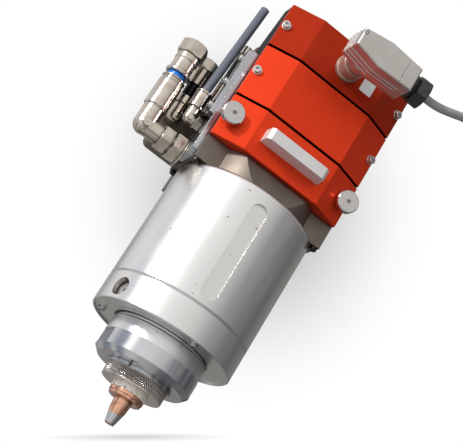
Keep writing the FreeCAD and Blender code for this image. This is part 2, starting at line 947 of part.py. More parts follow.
def receptacle():
    """Panel receptacle of the connector, on the upper cover."""
    sleeve = hood_near - 12.0
    profile = [
        (receptacle_bore_r, -4),
        (receptacle_sleeve_r, -4),
        (receptacle_sleeve_r, 0),
        (receptacle_r, 0),
        (receptacle_r, receptacle_thick),
        (receptacle_sleeve_r, receptacle_thick),
        (receptacle_sleeve_r, sleeve),
        (receptacle_bore_r, sleeve),
    ]
    return aimed(turned(profile), connector_point(front_y), (0, -1, 0))


def coupling_ring():
    """Turning ring that locks the connector."""
    z0 = receptacle_thick + 0.3
    z1 = z0 + coupling_length
    bore = receptacle_sleeve_r + shaft_clearance
    profile = [
        (bore, z0),
        (coupling_collar_r, z0),
        (coupling_collar_r, z0 + 1.0),
        (coupling_r, z0 + 1.4),
        (coupling_r, z1 - 3.4),
        (coupling_collar_r, z1 - 3.0),
        (coupling_collar_r, z1 - 0.4),
        (coupling_collar_r - 0.4, z1),
        (bore, z1),
    ]
    return aimed(turned(profile), connector_point(front_y), (0, -1, 0))


def hood_points(grow=0.0):
    """Outline of the hood in X and Z about the connector axis."""
    upper = [
        (hood_left - grow, hood_left_half + grow),
        (hood_shoulder, hood_shoulder_half + grow),
        (hood_right, hood_right_half + grow),
    ]
    return upper + [(x, -z) for x, z in reversed(upper)]


def hood_slab(y0, y1, grow=0.0, cut_x=None):
    """A slab of the hood between two depths."""
    points = [V(connector_x + x, y0, connector_z + z) for x, z in hood_points(grow)]
    slab = Part.Face(Part.makePolygon(points + points[:1])).extrude(V(0, y1 - y0, 0))
    if cut_x is not None:
        slab = slab.common(block(-60, cut_x, -200, 0, -60, 60))
    return slab


def connector_hood():
    """Diecast angled hood with grip ribs and a turned neck."""
    near = front_y - hood_near
    far = near - hood_depth
    body = hood_slab(far, near)
    rim = [e for e in body.Edges if e.BoundBox.YLength < 0.01 and e.BoundBox.YMax < far + 0.1]
    body = body.makeChamfer(0.7, rim)
    ribs = ((near - 4.0, 6.0), (near - 8.5, 26.0), (near - 13.0, 27.5))
    for y, reach in ribs:
        body = body.fuse(hood_slab(y - 1.0, y, hood_rib, reach))
    start = receptacle_thick + coupling_length + 0.6
    neck = turned([
        (0, start),
        (hood_neck_r - 1.4, start),
        (hood_neck_r, start + 3),
        (hood_neck_r, hood_near + 2),
        (0, hood_near + 2),
    ])
    spigot = cylinder(hood_spigot_r, 2, start)
    body = body.fuse(aimed(neck.fuse(spigot), connector_point(front_y), (0, -1, 0)))
    seam_cut = block(hood_lid_seam_x - 0.2, hood_lid_seam_x + 0.2, far - 1, far + 0.5, connector_z - 20,
                     connector_z + 20)
    return body.cut(seam_cut)


gland_y = front_y - hood_near - hood_depth / 2
gland_start = connector_x + hood_right
gland_end = gland_start + gland_dome_length + gland_hex_length


def cable_gland():
    """Black cable gland with a hexagonal nut."""
    dome = turned([
        (lead_r + 0.2, 0),
        (gland_dome_r, 0),
        (gland_dome_r, 1.5),
        (gland_dome_r - 1.6, gland_dome_length),
        (lead_r + 0.2, gland_dome_length),
    ])
    nut = hexagon(gland_hex, gland_hex_length, 0.8).translate(V(0, 0, gland_dome_length))
    body = dome.fuse(nut).cut(cylinder(lead_r + 0.2, gland_dome_length, gland_end - gland_start - 1.0))
    return aimed(body, (gland_start, gland_y, connector_z), (1, 0, 0))


def rounded_path(points):
    """Straight runs joined by tangent arcs, with the radii that were used."""
    edges = []
    radii = []
    last = points[0]
    for before, corner, after in zip(points, points[1:], points[2:]):
        run_in = corner.sub(before)
        run_out = after.sub(corner)
        turn = run_in.getAngle(run_out)
        shorter = min(run_in.Length, run_out.Length)
        cut_back = 0.45 * shorter
        radii.append(cut_back / math.tan(turn / 2))
        a = corner.sub(V(run_in).normalize().multiply(cut_back))
        b = corner.add(V(run_out).normalize().multiply(cut_back))
        bow = V(run_out).normalize().sub(V(run_in).normalize()).normalize()
        centre = corner.add(bow.multiply(radii[-1] / math.cos(turn / 2)))
        middle = centre.add(corner.sub(centre).normalize().multiply(radii[-1]))
        edges.append(Part.LineSegment(last, a).toShape())
        edges.append(Part.Arc(a, middle, b).toShape())
        last = b
    edges.append(Part.LineSegment(last, points[-1]).toShape())
    return Part.Wire(edges), radii


lead_route = [
    (0.0, 0.0, 0.0),
    (10.0, 0.0, 0.0),
    (22.6, 0.5, 3.9),
    (36.0, 1.5, 9.4),
    (54.0, 3.0, 13.5),
    (74.0, 4.5, 11.5),
    (92.0, 6.0, 2.0),
    (105.0, 7.0, -12.0),
    (113.0, 8.0, -29.0),
    (117.0, 9.0, -46.0),
]
lead_points = [(gland_end + x, gland_y + y, connector_z + z) for x, y, z in lead_route]


def lead():
    """Short grey lead of the connector, led out level and hanging down at its end."""
    wire, radii = rounded_path([V(*p) for p in lead_points])
    start = V(*lead_points[1]).sub(V(*lead_points[0]))
    circle = Part.Wire(Part.makeCircle(lead_r, V(*lead_points[0]), start))
    body = wire.makePipeShell([circle], True, False, 1)
    print("lead length", round(wire.Length, 1), "radii", [round(r) for r in radii])
    print("lead volume share", round(body.Volume / (math.pi * lead_r ** 2 * wire.Length), 4))
    return body


def lead_plug():
    """Round in-line plug on the end of the lead."""
    end = V(*lead_points[-1])
    direction = end.sub(V(*lead_points[-2])).normalize()
    profile = [
        (0, 0),
        (lead_r + 0.6, 0),
        (lead_r + 1.4, 8),
        (plug_r - 0.8, 11),
        (plug_r - 0.8, 21),
        (plug_r, 21.6),
        (plug_r, plug_length - 6),
        (plug_r - 0.7, plug_length - 5.2),
        (plug_r - 0.7, plug_length),
        (plug_r - 1.8, plug_length),
        (plug_r - 1.8, plug_length - 1.5),
        (0, plug_length - 1.5),
    ]
    return aimed(turned(profile), end, direction)


def manifold_plate(x1, thick, bottom, foot_y):
    """A plate of the manifold: a slim upright bar on a deeper foot."""
    y0 = manifold_front_y
    bar = block(x1 - thick, x1, y0, y0 + manifold_bar_depth, bottom, manifold_top)
    return bar.fuse(block(x1 - thick, x1, y0, foot_y, bottom, manifold_ledge))


def manifold_inner():
    """Inner plate of the gas manifold, with the seats of both fittings on its foot."""
    back = manifold_front_y + manifold_depth
    plate = manifold_plate(body_left, manifold_inner_thick, manifold_inner_bottom, back)
    plate = plate.removeSplitter()
    low = [e for e in plate.Edges if e.BoundBox.ZMax < manifold_inner_bottom + 0.01]
    foot = [e for e in low if e.BoundBox.YLength < 0.01]
    plate = plate.makeFillet(manifold_corner, foot)
    return plate.cut(rod(gas_bore, (gas_seat, gas_y, gas_z), (1, 0, 0), manifold_inner_thick))


def manifold_outer():
    """Outer plate of the gas manifold, bevelled at its top, with a ledge for the sensor."""
    ledge_back = sensor_y + sensor_ferrule_r + 1
    plate = manifold_plate(gas_seat, manifold_outer_thick, manifold_outer_bottom, ledge_back).removeSplitter()
    top = [e for e in plate.Edges if e.BoundBox.ZLength < 0.01 and e.BoundBox.ZMax > manifold_top - 0.01]
    plate = plate.makeChamfer(1.2, top)
    for x, y, z in manifold_screw_places():
        plate = plate.cut(rod(screw_r, (x, y, z), (1, 0, 0), manifold_outer_thick))
    return plate


def manifold_screw_places():
    """Seats of the screws in the outer plate, in one column near its front edge."""
    x = body_left - manifold_inner_thick - manifold_outer_thick
    top = manifold_top - 8
    pitch = (top - manifold_outer_bottom - 6) / 2
    return [(x, manifold_front_y + 5, top - pitch * i) for i in range(3)]


def manifold_screws():
    """Cap screws that hold the manifold plates."""
    places = manifold_screw_places()
    return Part.makeCompound([cap_screw(place, (-1, 0, 0), manifold_outer_thick) for place in places])


gas_seat = body_left - manifold_inner_thick
gas_hex_start = gas_seat - gas_ring_length
gas_collar_start = gas_hex_start - gas_hex_length
gas_leg_start = gas_collar_start - gas_collar_length


def gas_ring():
    """Seal ring of the gas inlet against the manifold's inner plate."""
    ring = turned([
        (gas_bore, 0),
        (gas_ring_r, 0),
        (gas_ring_r, gas_ring_length - 0.4),
        (gas_ring_r - 0.4, gas_ring_length),
        (gas_bore, gas_ring_length),
    ])
    return aimed(ring, (gas_seat, gas_y, gas_z), (-1, 0, 0))


def gas_nut():
    """Large hexagon nut and smaller hexagon collar of the gas inlet."""
    big = hexagon(gas_hex, gas_hex_length, 0.8, 30 + gas_hex_turn)
    small = hexagon(gas_collar_hex, gas_collar_length, 0.7, 30 + gas_hex_turn)
    small = small.translate(V(0, 0, gas_hex_length))
    groove = cylinder(gas_hex, gas_hex_length, gas_hex_length + 1.6)
    groove = groove.cut(cylinder(gas_collar_hex / 2 - 0.6, gas_hex_length, gas_hex_length + 1.6))
    bore = cylinder(gas_bore, 0, gas_hex_length + gas_collar_length)
    body = big.fuse(small.cut(groove)).cut(bore)
    return aimed(body, (gas_hex_start, gas_y, gas_z), (-1, 0, 0))


def gas_elbow():
    """Elbow of the gas inlet with a boss at its corner and a neck for the locking sleeve."""
    corner = V(gas_elbow_x, gas_y, gas_z)
    leg = rod(gas_leg_r, (gas_leg_start, gas_y, gas_z), (-1, 0, 0), gas_leg_start - gas_elbow_x)
    riser = cylinder(gas_elbow_r, gas_z, sleeve_bottom + sleeve_length - 6, gas_elbow_x, gas_y)
    knee = Part.makeSphere(gas_elbow_r, corner)
    boss = rod(3.0, (gas_elbow_x, gas_y - gas_elbow_r - 0.7, gas_z), (0, 1, 0), gas_elbow_r)
    body = leg.fuse(riser).fuse(knee).fuse(boss)
    bore = rod(gas_bore, (gas_leg_start, gas_y, gas_z), (-1, 0, 0), gas_leg_start - gas_elbow_x)
    bore = bore.fuse(cylinder(gas_bore, gas_z, sleeve_bottom + sleeve_length, gas_elbow_x, gas_y))
    return body.cut(bore.fuse(Part.makeSphere(gas_bore, corner)))


def locking_sleeve():
    """Sliding sleeve of the quick coupling."""
    bore = gas_elbow_r + shaft_clearance
    top = sleeve_length
    profile = [
        (bore, 0),
        (sleeve_r - 1.0, 0),
        (sleeve_r, 1.4),
        (sleeve_r, top - 4.2),
        (sleeve_r - 0.7, top - 3.6),
        (sleeve_r - 0.7, top - 1.2),
        (sleeve_r, top - 0.8),
        (sleeve_r, top),
        (bore, top),
    ]
    return aimed(turned(profile), (gas_elbow_x, gas_y, sleeve_bottom), (0, 0, 1))


lock_ring_bottom = sleeve_bottom + sleeve_length + 0.3
coupling_plug_bottom = lock_ring_bottom + lock_ring_height


def lock_ring():
    """Blue locking ring between sleeve and plug."""
    ring = cylinder(lock_ring_r, 0, lock_ring_height).cut(cylinder(gas_bore, 0, lock_ring_height))
    return aimed(ring, (gas_elbow_x, gas_y, lock_ring_bottom), (0, 0, 1))


def coupling_plug():
    """Plug half of the quick coupling with a flange, body and spigot."""
    spigot = gas_elbow_r - 1.2
    down = coupling_plug_bottom - (sleeve_bottom + sleeve_length - 6)
    top = 3.2 + plug_body_height
    profile = [
        (2.6, -down),
        (gas_bore, -down),
        (gas_bore, 0),
        (plug_flange_r - 0.6, 0),
        (plug_flange_r, 0.8),
        (plug_flange_r, 2.2),
        (plug_body_r, 3.2),
        (plug_body_r, top - 5),
        (plug_body_r + 0.6, top - 4),
        (plug_body_r + 0.6, top),
        (2.6, top),
    ]
    return aimed(turned(profile), (gas_elbow_x, gas_y, coupling_plug_bottom), (0, 0, 1))


def plug_nut():
    """Hexagonal cap nut on the plug."""
    bottom = coupling_plug_bottom + 3.2 + plug_body_height
    nut = hexagon(plug_hex, plug_hex_height, plug_hex_corner, plug_hex_turn)
    nut = nut.cut(cylinder(4.2, 4, plug_hex_height))
    return aimed(nut, (gas_elbow_x, gas_y, bottom), (0, 0, 1))


small_base_x = body_left - manifold_inner_thick


def small_elbow():
    """Small push-in elbow: hexagon, swivel leg, riser and boss."""
    nut = aimed(hexagon(small_hex, small_hex_length, 0.5, 30), (small_base_x, small_y, small_z), (-1, 0, 0))
    reach = small_base_x - small_x
    leg = rod(3.6, (small_base_x, small_y, small_z), (-1, 0, 0), reach)
    riser_top = small_z + 8.5
    riser = cylinder(small_elbow_r - 0.6, small_z, riser_top, small_x, small_y)
    knee = Part.makeSphere(small_elbow_r - 0.6, V(small_x, small_y, small_z))
    collar = cylinder(small_sleeve_r, riser_top, riser_top + small_sleeve_height, small_x, small_y)
    boss = rod(2.0, (small_x, small_y - small_elbow_r - 0.4, small_z), (0, 1, 0), small_elbow_r)
    body = nut.fuse(leg).fuse(riser).fuse(knee).fuse(collar).fuse(boss)
    return body.cut(cylinder(tube_r, riser_top + 2, riser_top + small_sleeve_height, small_x, small_y))


tube_foot = small_z + 8.5 + small_sleeve_height + release_height


def release_collar():
    """Thin release collar of the push-in fitting."""
    ring = cylinder(release_r, tube_foot - release_height, tube_foot, small_x, small_y)
    return ring.cut(cylinder(tube_r, tube_foot - release_height, tube_foot, small_x, small_y))


def air_tube():
    """Clear stiff tube that stands in the push-in fitting, cut square at its end."""
    direction = V(tube_lean_x, tube_lean_y, tube_length)
    start = V(small_x, small_y, tube_foot)
    outer = rod(tube_r, start, direction, tube_length)
    return outer.cut(rod(tube_bore_r, start, direction, tube_length))


sensor_low = manifold_ledge + sensor_stem + sensor_low_ferrule
sensor_high = sensor_low + sensor_length


def pressure_sensor():
    """Black gas pressure sensor behind the manifold's bars."""
    return cylinder(sensor_r, sensor_low, sensor_high, sensor_x, sensor_y)


def sensor_ferrules():
    """Nickel ferrules of the pressure sensor; the lower one stands on the manifold's ledge."""
    stem = cylinder(sensor_stem_r, manifold_ledge, sensor_low, sensor_x, sensor_y)
    low = cylinder(sensor_ferrule_r, manifold_ledge + sensor_stem, sensor_low, sensor_x, sensor_y)
    high = cylinder(sensor_ferrule_r, sensor_high, sensor_high + sensor_high_ferrule, sensor_x, sensor_y)
    return Part.makeCompound([stem.fuse(low), high])


def rear_fitting():
    """Second gas fitting: a leg into the lug, a riser, a banded body and a hexagon cap."""
    y = lug_front_y - rear_y_gap
    leg = rod(rear_leg_r, (rear_x, y, rear_z), (0, 1, 0), rear_y_gap)
    knee = Part.makeSphere(rear_leg_r, V(rear_x, y, rear_z))
    riser = cylinder(rear_leg_r, rear_z, rear_riser_top, rear_x, y)
    level = rear_riser_top
    steps = ((rear_body_r, 6.0), (rear_leg_r, 11.0), (rear_body_r, 13.0))
    body = leg.fuse(knee).fuse(riser)
    for r, height in steps:
        body = body.fuse(cylinder(r, level, level + height, rear_x, y))
        level += height
    cap = hexagon(rear_hex, rear_hex_height, 1.0).translate(V(rear_x, y, level))
    return body.fuse(cap)


def centring_screw(angle):
    """Radial adjusting screw with a hexagon socket."""
    x, y = polar(1, angle)
    outer = barrel_r - adjust_hole_depth
    screw = cylinder(adjust_screw_r, 0, outer - centring_flange_r - 0.3)
    head = cylinder(adjust_head_r, -2.2, 0).cut(hexagon(2.5, 1.6, 0.1).translate(V(0, 0, -2.2)))
    return aimed(head.fuse(screw), (outer * x, outer * y, adjust_z), (-x, -y, 0))


def centring_bush(angle):
    """Brass bush around a centring screw's head."""
    x, y = polar(1, angle)
    outer = barrel_r - adjust_hole_depth
    ring = cylinder(adjust_bush_r, -1.8, 0).cut(cylinder(adjust_head_r + shaft_clearance, -1.8, 0))
    return aimed(ring, (outer * x, outer * y, adjust_z), (-x, -y, 0))


def centring_seal(angle):
    """Black ring seal around the bush."""
    x, y = polar(1, angle)
    outer = barrel_r - adjust_hole_depth
    ring = cylinder(adjust_hole_r, -1.2, 0).cut(cylinder(adjust_bush_r, -1.2, 0))
    return aimed(ring, (outer * x, outer * y, adjust_z), (-x, -y, 0))


def upper_cover():
    """Upper red cover with the connector opening."""
    hole = rod(receptacle_sleeve_r, connector_point(front_y - 1), (0, 1, 0), 6)
    return make_cover(upper_bottom, 0).cut(hole)


fixed_screws = [cap_screw([c + washer_thick * d for c, d in zip(p, n)], n, screw_length)
                for p, n in cover_screw_seats()]
lower_screws = [cap_screw((x, y, barrel_bottom + recess_depth), (0, 0, -1), lower_screw_length)
                for x, y in ring_screw_places()]
lower_screws += [cap_screw((x, y, block_bottom), (0, 0, -1), lower_screw_length) for x, y in wing_screws()]
left_screw, right_screw = (thumb_screw(side) for side in (-1, 1))
collimator_z = -flange_thick - collimator_drop

pieces = {
    "optics_housing": optics_housing(),
    "top_flange": top_flange(),
    "rear_mounting_plate": rear_plate(),
    "upper_cover": upper_cover(),
    "middle_cover": make_cover(middle_bottom, middle_top),
    "cover_screws": Part.makeCompound(fixed_screws),
    "cover_washers": Part.makeCompound([washer(p, n) for p, n in cover_screw_seats()]),
    "drawer_front": drawer_front(),
    "drawer_handle": drawer_handle(),
    "window_tray": window_tray(),
    "window_seal": window_seal(),
    "protective_window": protective_window(),
    "window_retainer": window_retainer(),
    "left_thumb_screw": left_screw,
    "right_thumb_screw": right_screw,
    "collimating_lens": lens(collimator_r, collimator_thick, collimator_z),
    "collimating_lens_mount": lens_mount(beam_bore_r, collimator_r, collimator_thick, collimator_z,
                                         collimator_ring_height),
    "focusing_lens": lens(lens_r, lens_thick, carriage_z),
    "focus_carriage": focus_carriage(),
    "focus_spindle": focus_spindle(),
    "focus_motor": focus_motor(),
    "spindle_bearing": spindle_bearing(),
    "gas_cone": gas_cone(),
    "gas_cone_seal": gas_cone_seal(),
    "centring_clamp_ring": clamp_ring(),
    "transition_block": transition_block(),
    "lower_screws": Part.makeCompound(lower_screws),
    "barrel": barrel(),
    "lower_ring": lower_ring(),
    "neck_ring": neck_ring(),
    "steel_ring": steel_ring(),
    "clamping_nut": clamping_nut(),
    "ceramic_ring": ceramic_ring(),
    "nozzle": nozzle(),
    "connector_receptacle": receptacle(),
    "connector_coupling_ring": coupling_ring(),
    "connector_hood": connector_hood(),
    "connector_gland": cable_gland(),
    "connector_lead": lead(),
    "lead_plug": lead_plug(),
    "manifold_inner_plate": manifold_inner(),
    "manifold_outer_plate": manifold_outer(),
    "manifold_screws": manifold_screws(),
    "gas_inlet_ring": gas_ring(),
    "gas_inlet_nut": gas_nut(),
    "gas_inlet_elbow": gas_elbow(),
    "coupling_sleeve": locking_sleeve(),
    "coupling_lock_ring": lock_ring(),
    "coupling_plug": coupling_plug(),
    "coupling_plug_nut": plug_nut(),
    "push_in_elbow": small_elbow(),
    "release_collar": release_collar(),
    "air_tube": air_tube(),
    "pressure_sensor": pressure_sensor(),
    "sensor_ferrules": sensor_ferrules(),
    "rear_gas_fitting": rear_fitting(),
}
for number, angle in enumerate(adjuster_angles(), 1):
    pieces["centring_screw_%d" % number] = centring_screw(angle)
pieces["centring_bushes"] = Part.makeCompound([centring_bush(angle) for angle in adjuster_angles()])
pieces["centring_seals"] = Part.makeCompound([centring_seal(angle) for angle in adjuster_angles()])

for name, shape in pieces.items():
    save(name, shape)
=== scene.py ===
# Looks of a laser bevel cutting head: finishes, knurl, lead, small trim, studio and camera.
import json
import math

import bmesh
import bpy
from mathutils import Matrix, Vector


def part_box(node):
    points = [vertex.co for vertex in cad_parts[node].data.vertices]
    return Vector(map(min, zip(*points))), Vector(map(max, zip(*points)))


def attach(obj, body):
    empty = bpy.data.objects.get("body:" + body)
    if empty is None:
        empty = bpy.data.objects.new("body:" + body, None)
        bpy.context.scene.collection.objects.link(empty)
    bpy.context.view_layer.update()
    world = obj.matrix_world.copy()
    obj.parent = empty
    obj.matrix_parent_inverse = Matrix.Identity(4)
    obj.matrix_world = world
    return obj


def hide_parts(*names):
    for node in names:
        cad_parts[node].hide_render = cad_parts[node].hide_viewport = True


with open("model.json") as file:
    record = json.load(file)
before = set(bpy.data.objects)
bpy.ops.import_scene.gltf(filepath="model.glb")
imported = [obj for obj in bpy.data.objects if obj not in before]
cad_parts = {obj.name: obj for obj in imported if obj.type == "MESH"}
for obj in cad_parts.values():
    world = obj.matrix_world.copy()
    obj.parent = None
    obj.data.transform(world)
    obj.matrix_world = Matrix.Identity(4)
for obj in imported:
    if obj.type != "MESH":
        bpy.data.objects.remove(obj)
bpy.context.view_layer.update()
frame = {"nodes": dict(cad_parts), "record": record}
nodes = frame["nodes"]

MM = 0.001

# Camera of the photograph, fitted to the object's rims and corners
PHOTO_WIDTH = 463
FOCAL_PX = 1266.07
SENSOR_MM = 36.0
CLIP_START = 0.01
CLIP_END = 20
VIEW_AZIMUTH = math.radians(-14.01)
VIEW_ELEVATION = math.radians(-20.43)
VIEW_ROLL = math.radians(32.09)
VIEW_DISTANCE = 850 * MM
VIEW_CENTRE = Vector((0, 0, -183.5)) * MM
VIEW_RIGHT = 17.05 * MM
VIEW_UP = 29.81 * MM


def view_axes():
    """Right, up and back directions of the photograph's camera."""
    back = Vector((
        math.sin(VIEW_AZIMUTH) * math.cos(VIEW_ELEVATION),
        -math.cos(VIEW_AZIMUTH) * math.cos(VIEW_ELEVATION),
        math.sin(VIEW_ELEVATION),
    ))
    right = Vector((math.cos(VIEW_AZIMUTH), math.sin(VIEW_AZIMUTH), 0))
    up = back.cross(right)
    c, s = math.cos(VIEW_ROLL), math.sin(VIEW_ROLL)
    return c * right + s * up, -s * right + c * up, back


RIGHT, UP, BACK = view_axes()
TARGET = VIEW_CENTRE + VIEW_RIGHT * RIGHT + VIEW_UP * UP


def add_object(name, data):
    """Adds an object to the scene."""
    obj = bpy.data.objects.new(name, data)
    bpy.context.scene.collection.objects.link(obj)
    return obj


def placed(across, along, up, place):
    """Matrix of an object from its three axes and its place."""
    rows = [(across[i], along[i], up[i], place[i]) for i in range(3)]
    return Matrix((*rows, (0, 0, 0, 1)))


def add_camera():
    """Camera at the photograph's viewing angle."""
    data = bpy.data.cameras.new("camera")
    data.sensor_width = SENSOR_MM
    data.lens = FOCAL_PX / PHOTO_WIDTH * SENSOR_MM
    data.clip_start = CLIP_START
    data.clip_end = CLIP_END
    camera = add_object("camera", data)
    camera.matrix_world = placed(RIGHT, UP, BACK, TARGET + VIEW_DISTANCE * BACK)
    bpy.context.scene.camera = camera


add_camera()

# Sockets of Blender's mix node for colours
MIX_FACTOR = 0
MIX_A = 6
MIX_B = 7
MIX_RESULT = 2

# Noise detail of the colours, of the roughness and of the fine relief
COLOUR_DETAIL = 3.0
ROUGHNESS_DETAIL = 4.0
GRAIN_DETAIL = 2.0
# Rays that the rounded edges and the dark corners take
EDGE_SAMPLES = 4
# Share of open sky at which the painted shade in corners and grooves starts, and at which it is full
CORNER_SHADE_RANGE = (0.9, 0.45)
# Radians that a wave texture of scale one turns in a metre
WAVE_RADIANS = 20
TURNED_DEPTH = 0.02 * MM


class Finish:
    """A material built step by step on one Principled shader."""

    def __init__(self, name, colour, metallic=0.0, roughness=0.5):
        self.mat = bpy.data.materials.new(name)
        self.mat.use_nodes = True
        self.tree = self.mat.node_tree
        self.shader = self.tree.nodes["Principled BSDF"]
        self.colour = colour
        self.roughness = roughness
        self.set_value("Base Color", (*colour, 1))
        self.set_value("Metallic", metallic)
        self.set_value("Roughness", roughness)
        self.coords = self.node("ShaderNodeTexCoord").outputs["Object"]
        self.normal = None

    def set_value(self, name, value):
        """Sets one of the shader's own values."""
        self.shader.inputs[name].default_value = value

    def node(self, kind, **values):
        """Adds a node and sets its inputs by name."""
        made = self.tree.nodes.new(kind)
        for key, value in values.items():
            made.inputs[key.replace("_", " ")].default_value = value
        return made

    def link(self, out, into):
        """Links one socket to another."""
        self.tree.links.new(out, into)

    def noise(self, scale, detail, stretch=None):
        """Noise value over the object, stretched along an axis if asked."""
        coords = self.coords
        if stretch:
            mapping = self.node("ShaderNodeMapping", Scale=stretch)
            self.link(coords, mapping.inputs["Vector"])
            coords = mapping.outputs["Vector"]
        made = self.node("ShaderNodeTexNoise", Scale=scale, Detail=detail)
        self.link(coords, made.inputs["Vector"])
        return made.outputs["Fac"]

    def ramp(self, value, low, high, to_low=0.0, to_high=1.0):
        """Maps a value's range onto another, clamped."""
        made = self.node("ShaderNodeMapRange", From_Min=low, From_Max=high, To_Min=to_low, To_Max=to_high)
        self.link(value, made.inputs["Value"])
        return made.outputs["Result"]

    def times(self, first, second):
        """Product of two masks."""
        made = self.node("ShaderNodeMath")
        made.operation = "MULTIPLY"
        self.link(first, made.inputs[0])
        self.link(second, made.inputs[1])
        return made.outputs[0]

    def between(self, axis, low, high, blend=0.1 * MM):
        """Mask of the part between two places along an axis."""
        split = self.node("ShaderNodeSeparateXYZ")
        self.link(self.coords, split.inputs[0])
        above = self.ramp(split.outputs[axis], low - blend, low + blend)
        below = self.ramp(split.outputs[axis], high + blend, high - blend)
        return self.times(above, below)

    def axis_distance(self):
        """Distance from the object's Z axis."""
        flat = self.node("ShaderNodeVectorMath")
        flat.operation = "MULTIPLY"
        flat.inputs[1].default_value = (1, 1, 0)
        self.link(self.coords, flat.inputs[0])
        length = self.node("ShaderNodeVectorMath")
        length.operation = "LENGTH"
        self.link(flat.outputs[0], length.inputs[0])
        return length.outputs["Value"]

    def mix_colour(self, mask, colour, blend="MIX"):
        """Mixes another colour in by a mask, or multiplies by it."""
        mix = self.node("ShaderNodeMix")
        mix.data_type = "RGBA"
        mix.blend_type = blend
        mix.inputs[MIX_A].default_value = (*self.colour, 1)
        mix.inputs[MIX_B].default_value = (*colour, 1)
        socket = self.shader.inputs["Base Color"]
        if socket.is_linked:
            self.link(socket.links[0].from_socket, mix.inputs[MIX_A])
        self.link(mask, mix.inputs[MIX_FACTOR])
        self.link(mix.outputs[MIX_RESULT], socket)
        return self

    def mottle(self, colour, scale, low=0.4, high=0.7, detail=COLOUR_DETAIL, stretch=None):
        """Colour variation by noise."""
        return self.mix_colour(self.ramp(self.noise(scale, detail, stretch), low, high), colour)

    def mottle_over(self, share, scale):
        """Darkens whatever colour is there by noise, down to a share of it."""
        mask = self.ramp(self.noise(scale, COLOUR_DETAIL), 0.35, 0.7)
        return self.mix_colour(mask, (share, share, share), "MULTIPLY")

    def paint_shade_in_corners(self, reach, share):
        """Painted shade: darkens corners and grooves by their ambient occlusion, down to a warm share of the
        colour.
        """
        near = self.node("ShaderNodeAmbientOcclusion", Distance=reach)
        near.samples = EDGE_SAMPLES
        mask = self.ramp(near.outputs["AO"], *CORNER_SHADE_RANGE)
        return self.mix_colour(mask, (share, share * 0.96, share * 0.92), "MULTIPLY")

    def vary_roughness(self, scale, spread):
        """Roughness variation by noise, such as handling marks."""
        value = self.noise(scale, ROUGHNESS_DETAIL)
        out = self.ramp(value, 0.3, 0.7, max(0.02, self.roughness - spread), self.roughness + spread)
        self.link(out, self.shader.inputs["Roughness"])
        return self

    def use_normal(self, out):
        """Gives the shader a normal, on which the next relief builds."""
        self.normal = out
        self.link(out, self.shader.inputs["Normal"])
        return self

    def soften_edges(self, radius):
        """Small rounding of every sharp edge, as a deburred part has."""
        bevel = self.node("ShaderNodeBevel", Radius=radius)
        bevel.samples = EDGE_SAMPLES
        return self.use_normal(bevel.outputs["Normal"])

    def bump(self, height, strength, distance):
        """Fine relief."""
        made = self.node("ShaderNodeBump", Strength=strength, Distance=distance)
        self.link(height, made.inputs["Height"])
        if self.normal:
            self.link(self.normal, made.inputs["Normal"])
        return self.use_normal(made.outputs["Normal"])

    def grain(self, scale, strength, distance=0.05 * MM):
        """Fine relief by noise, such as blasting or casting skin."""
        return self.bump(self.noise(scale, GRAIN_DETAIL), strength, distance)

    def turned_lines(self, step, strength):
        """Fine lines left by turning about Z, one for every two pi steps."""
        scale = 1.0 / step / WAVE_RADIANS
        wave = self.node("ShaderNodeTexWave", Scale=scale, Distortion=0.6, Detail=2.0)
        wave.bands_direction = "Z"
        self.link(self.coords, wave.inputs["Vector"])
        return self.bump(wave.outputs["Fac"], strength, TURNED_DEPTH)


# Places that divide a node's finish
BLACK_SCREWS_LOW = -200 * MM
INSULATING_BAND = (-88 * MM, -77 * MM)
# Seams between the covers, whose faces are coloured near black as painted shade in the gaps
SEAMS = [(-37.5 * MM, -35.9 * MM), (-81.4 * MM, -79.8 * MM)]
SEAM_RIM = 0.12 * MM
# Share of the red kept on the upper cover: painted shade that darkens the whole cover
UPPER_COVER_PAINTED_SHADE = 0.54
# Knurl: depths below the crests at which the painted shade in a groove starts and is full, the plain edge at
# each end, and the depths below which the nut's inside starts
KNURL_RADIUS = 22.1 * MM
GROOVE_SHADE = (0.2 * MM, 0.5 * MM)
GROOVE_EDGE = 0.4 * MM
GROOVE_LIMIT = (0.9 * MM, 0.7 * MM)
# Nozzle: height of the plated tip, and the worn rim at its end
NOZZLE_PLATED = 6.8 * MM
NOZZLE_RIM = (-1 * MM, 0.5 * MM)
# Grip ribs of the hood: their far sides, measured back from the hood's front face, and the painted highlight
# line
HOOD_RIBS = (19.0 * MM, 14.5 * MM, 10.0 * MM)
HOOD_RIB_HIGHLIGHT = (0.9 * MM, 0.1 * MM)


def red_anodised(name="red_anodised", shade=1.0):
    """Red anodised aluminium, with painted shade in its seams; a shade under one darkens it all as painted
    shade.
    """
    colour = Vector((0.74, 0.050, 0.014)) * shade
    f = Finish(name, tuple(colour), 0.5, 0.38)
    f.set_value("Specular IOR Level", 0.08)
    f.mottle(tuple(colour * 0.93), 45, 0.35, 0.7)
    # painted shade: the faces in each seam gap are coloured near black
    for low, high in SEAMS:
        f.mix_colour(f.between("Z", low - SEAM_RIM, high + SEAM_RIM, SEAM_RIM / 4), (0.006, 0.001, 0.001))
    f.vary_roughness(60, 0.03)
    return f.soften_edges(0.35 * MM).grain(2600, 0.22, 0.04 * MM)


def black_anodised():
    f = Finish("black_anodised", (0.011, 0.011, 0.012), 0.0, 0.55)
    f.set_value("Specular IOR Level", 0.12)
    f.mottle((0.017, 0.017, 0.018), 80)
    return f.soften_edges(0.4 * MM).grain(2400, 0.15)


def blasted_grey():
    f = Finish("blasted_grey", (0.205, 0.174, 0.147), 0.85, 0.5)
    f.mottle((0.155, 0.131, 0.110), 60, 0.3, 0.75, 5)
    f.vary_roughness(90, 0.05)
    return f.soften_edges(0.4 * MM).grain(1500, 0.6, 0.1 * MM)


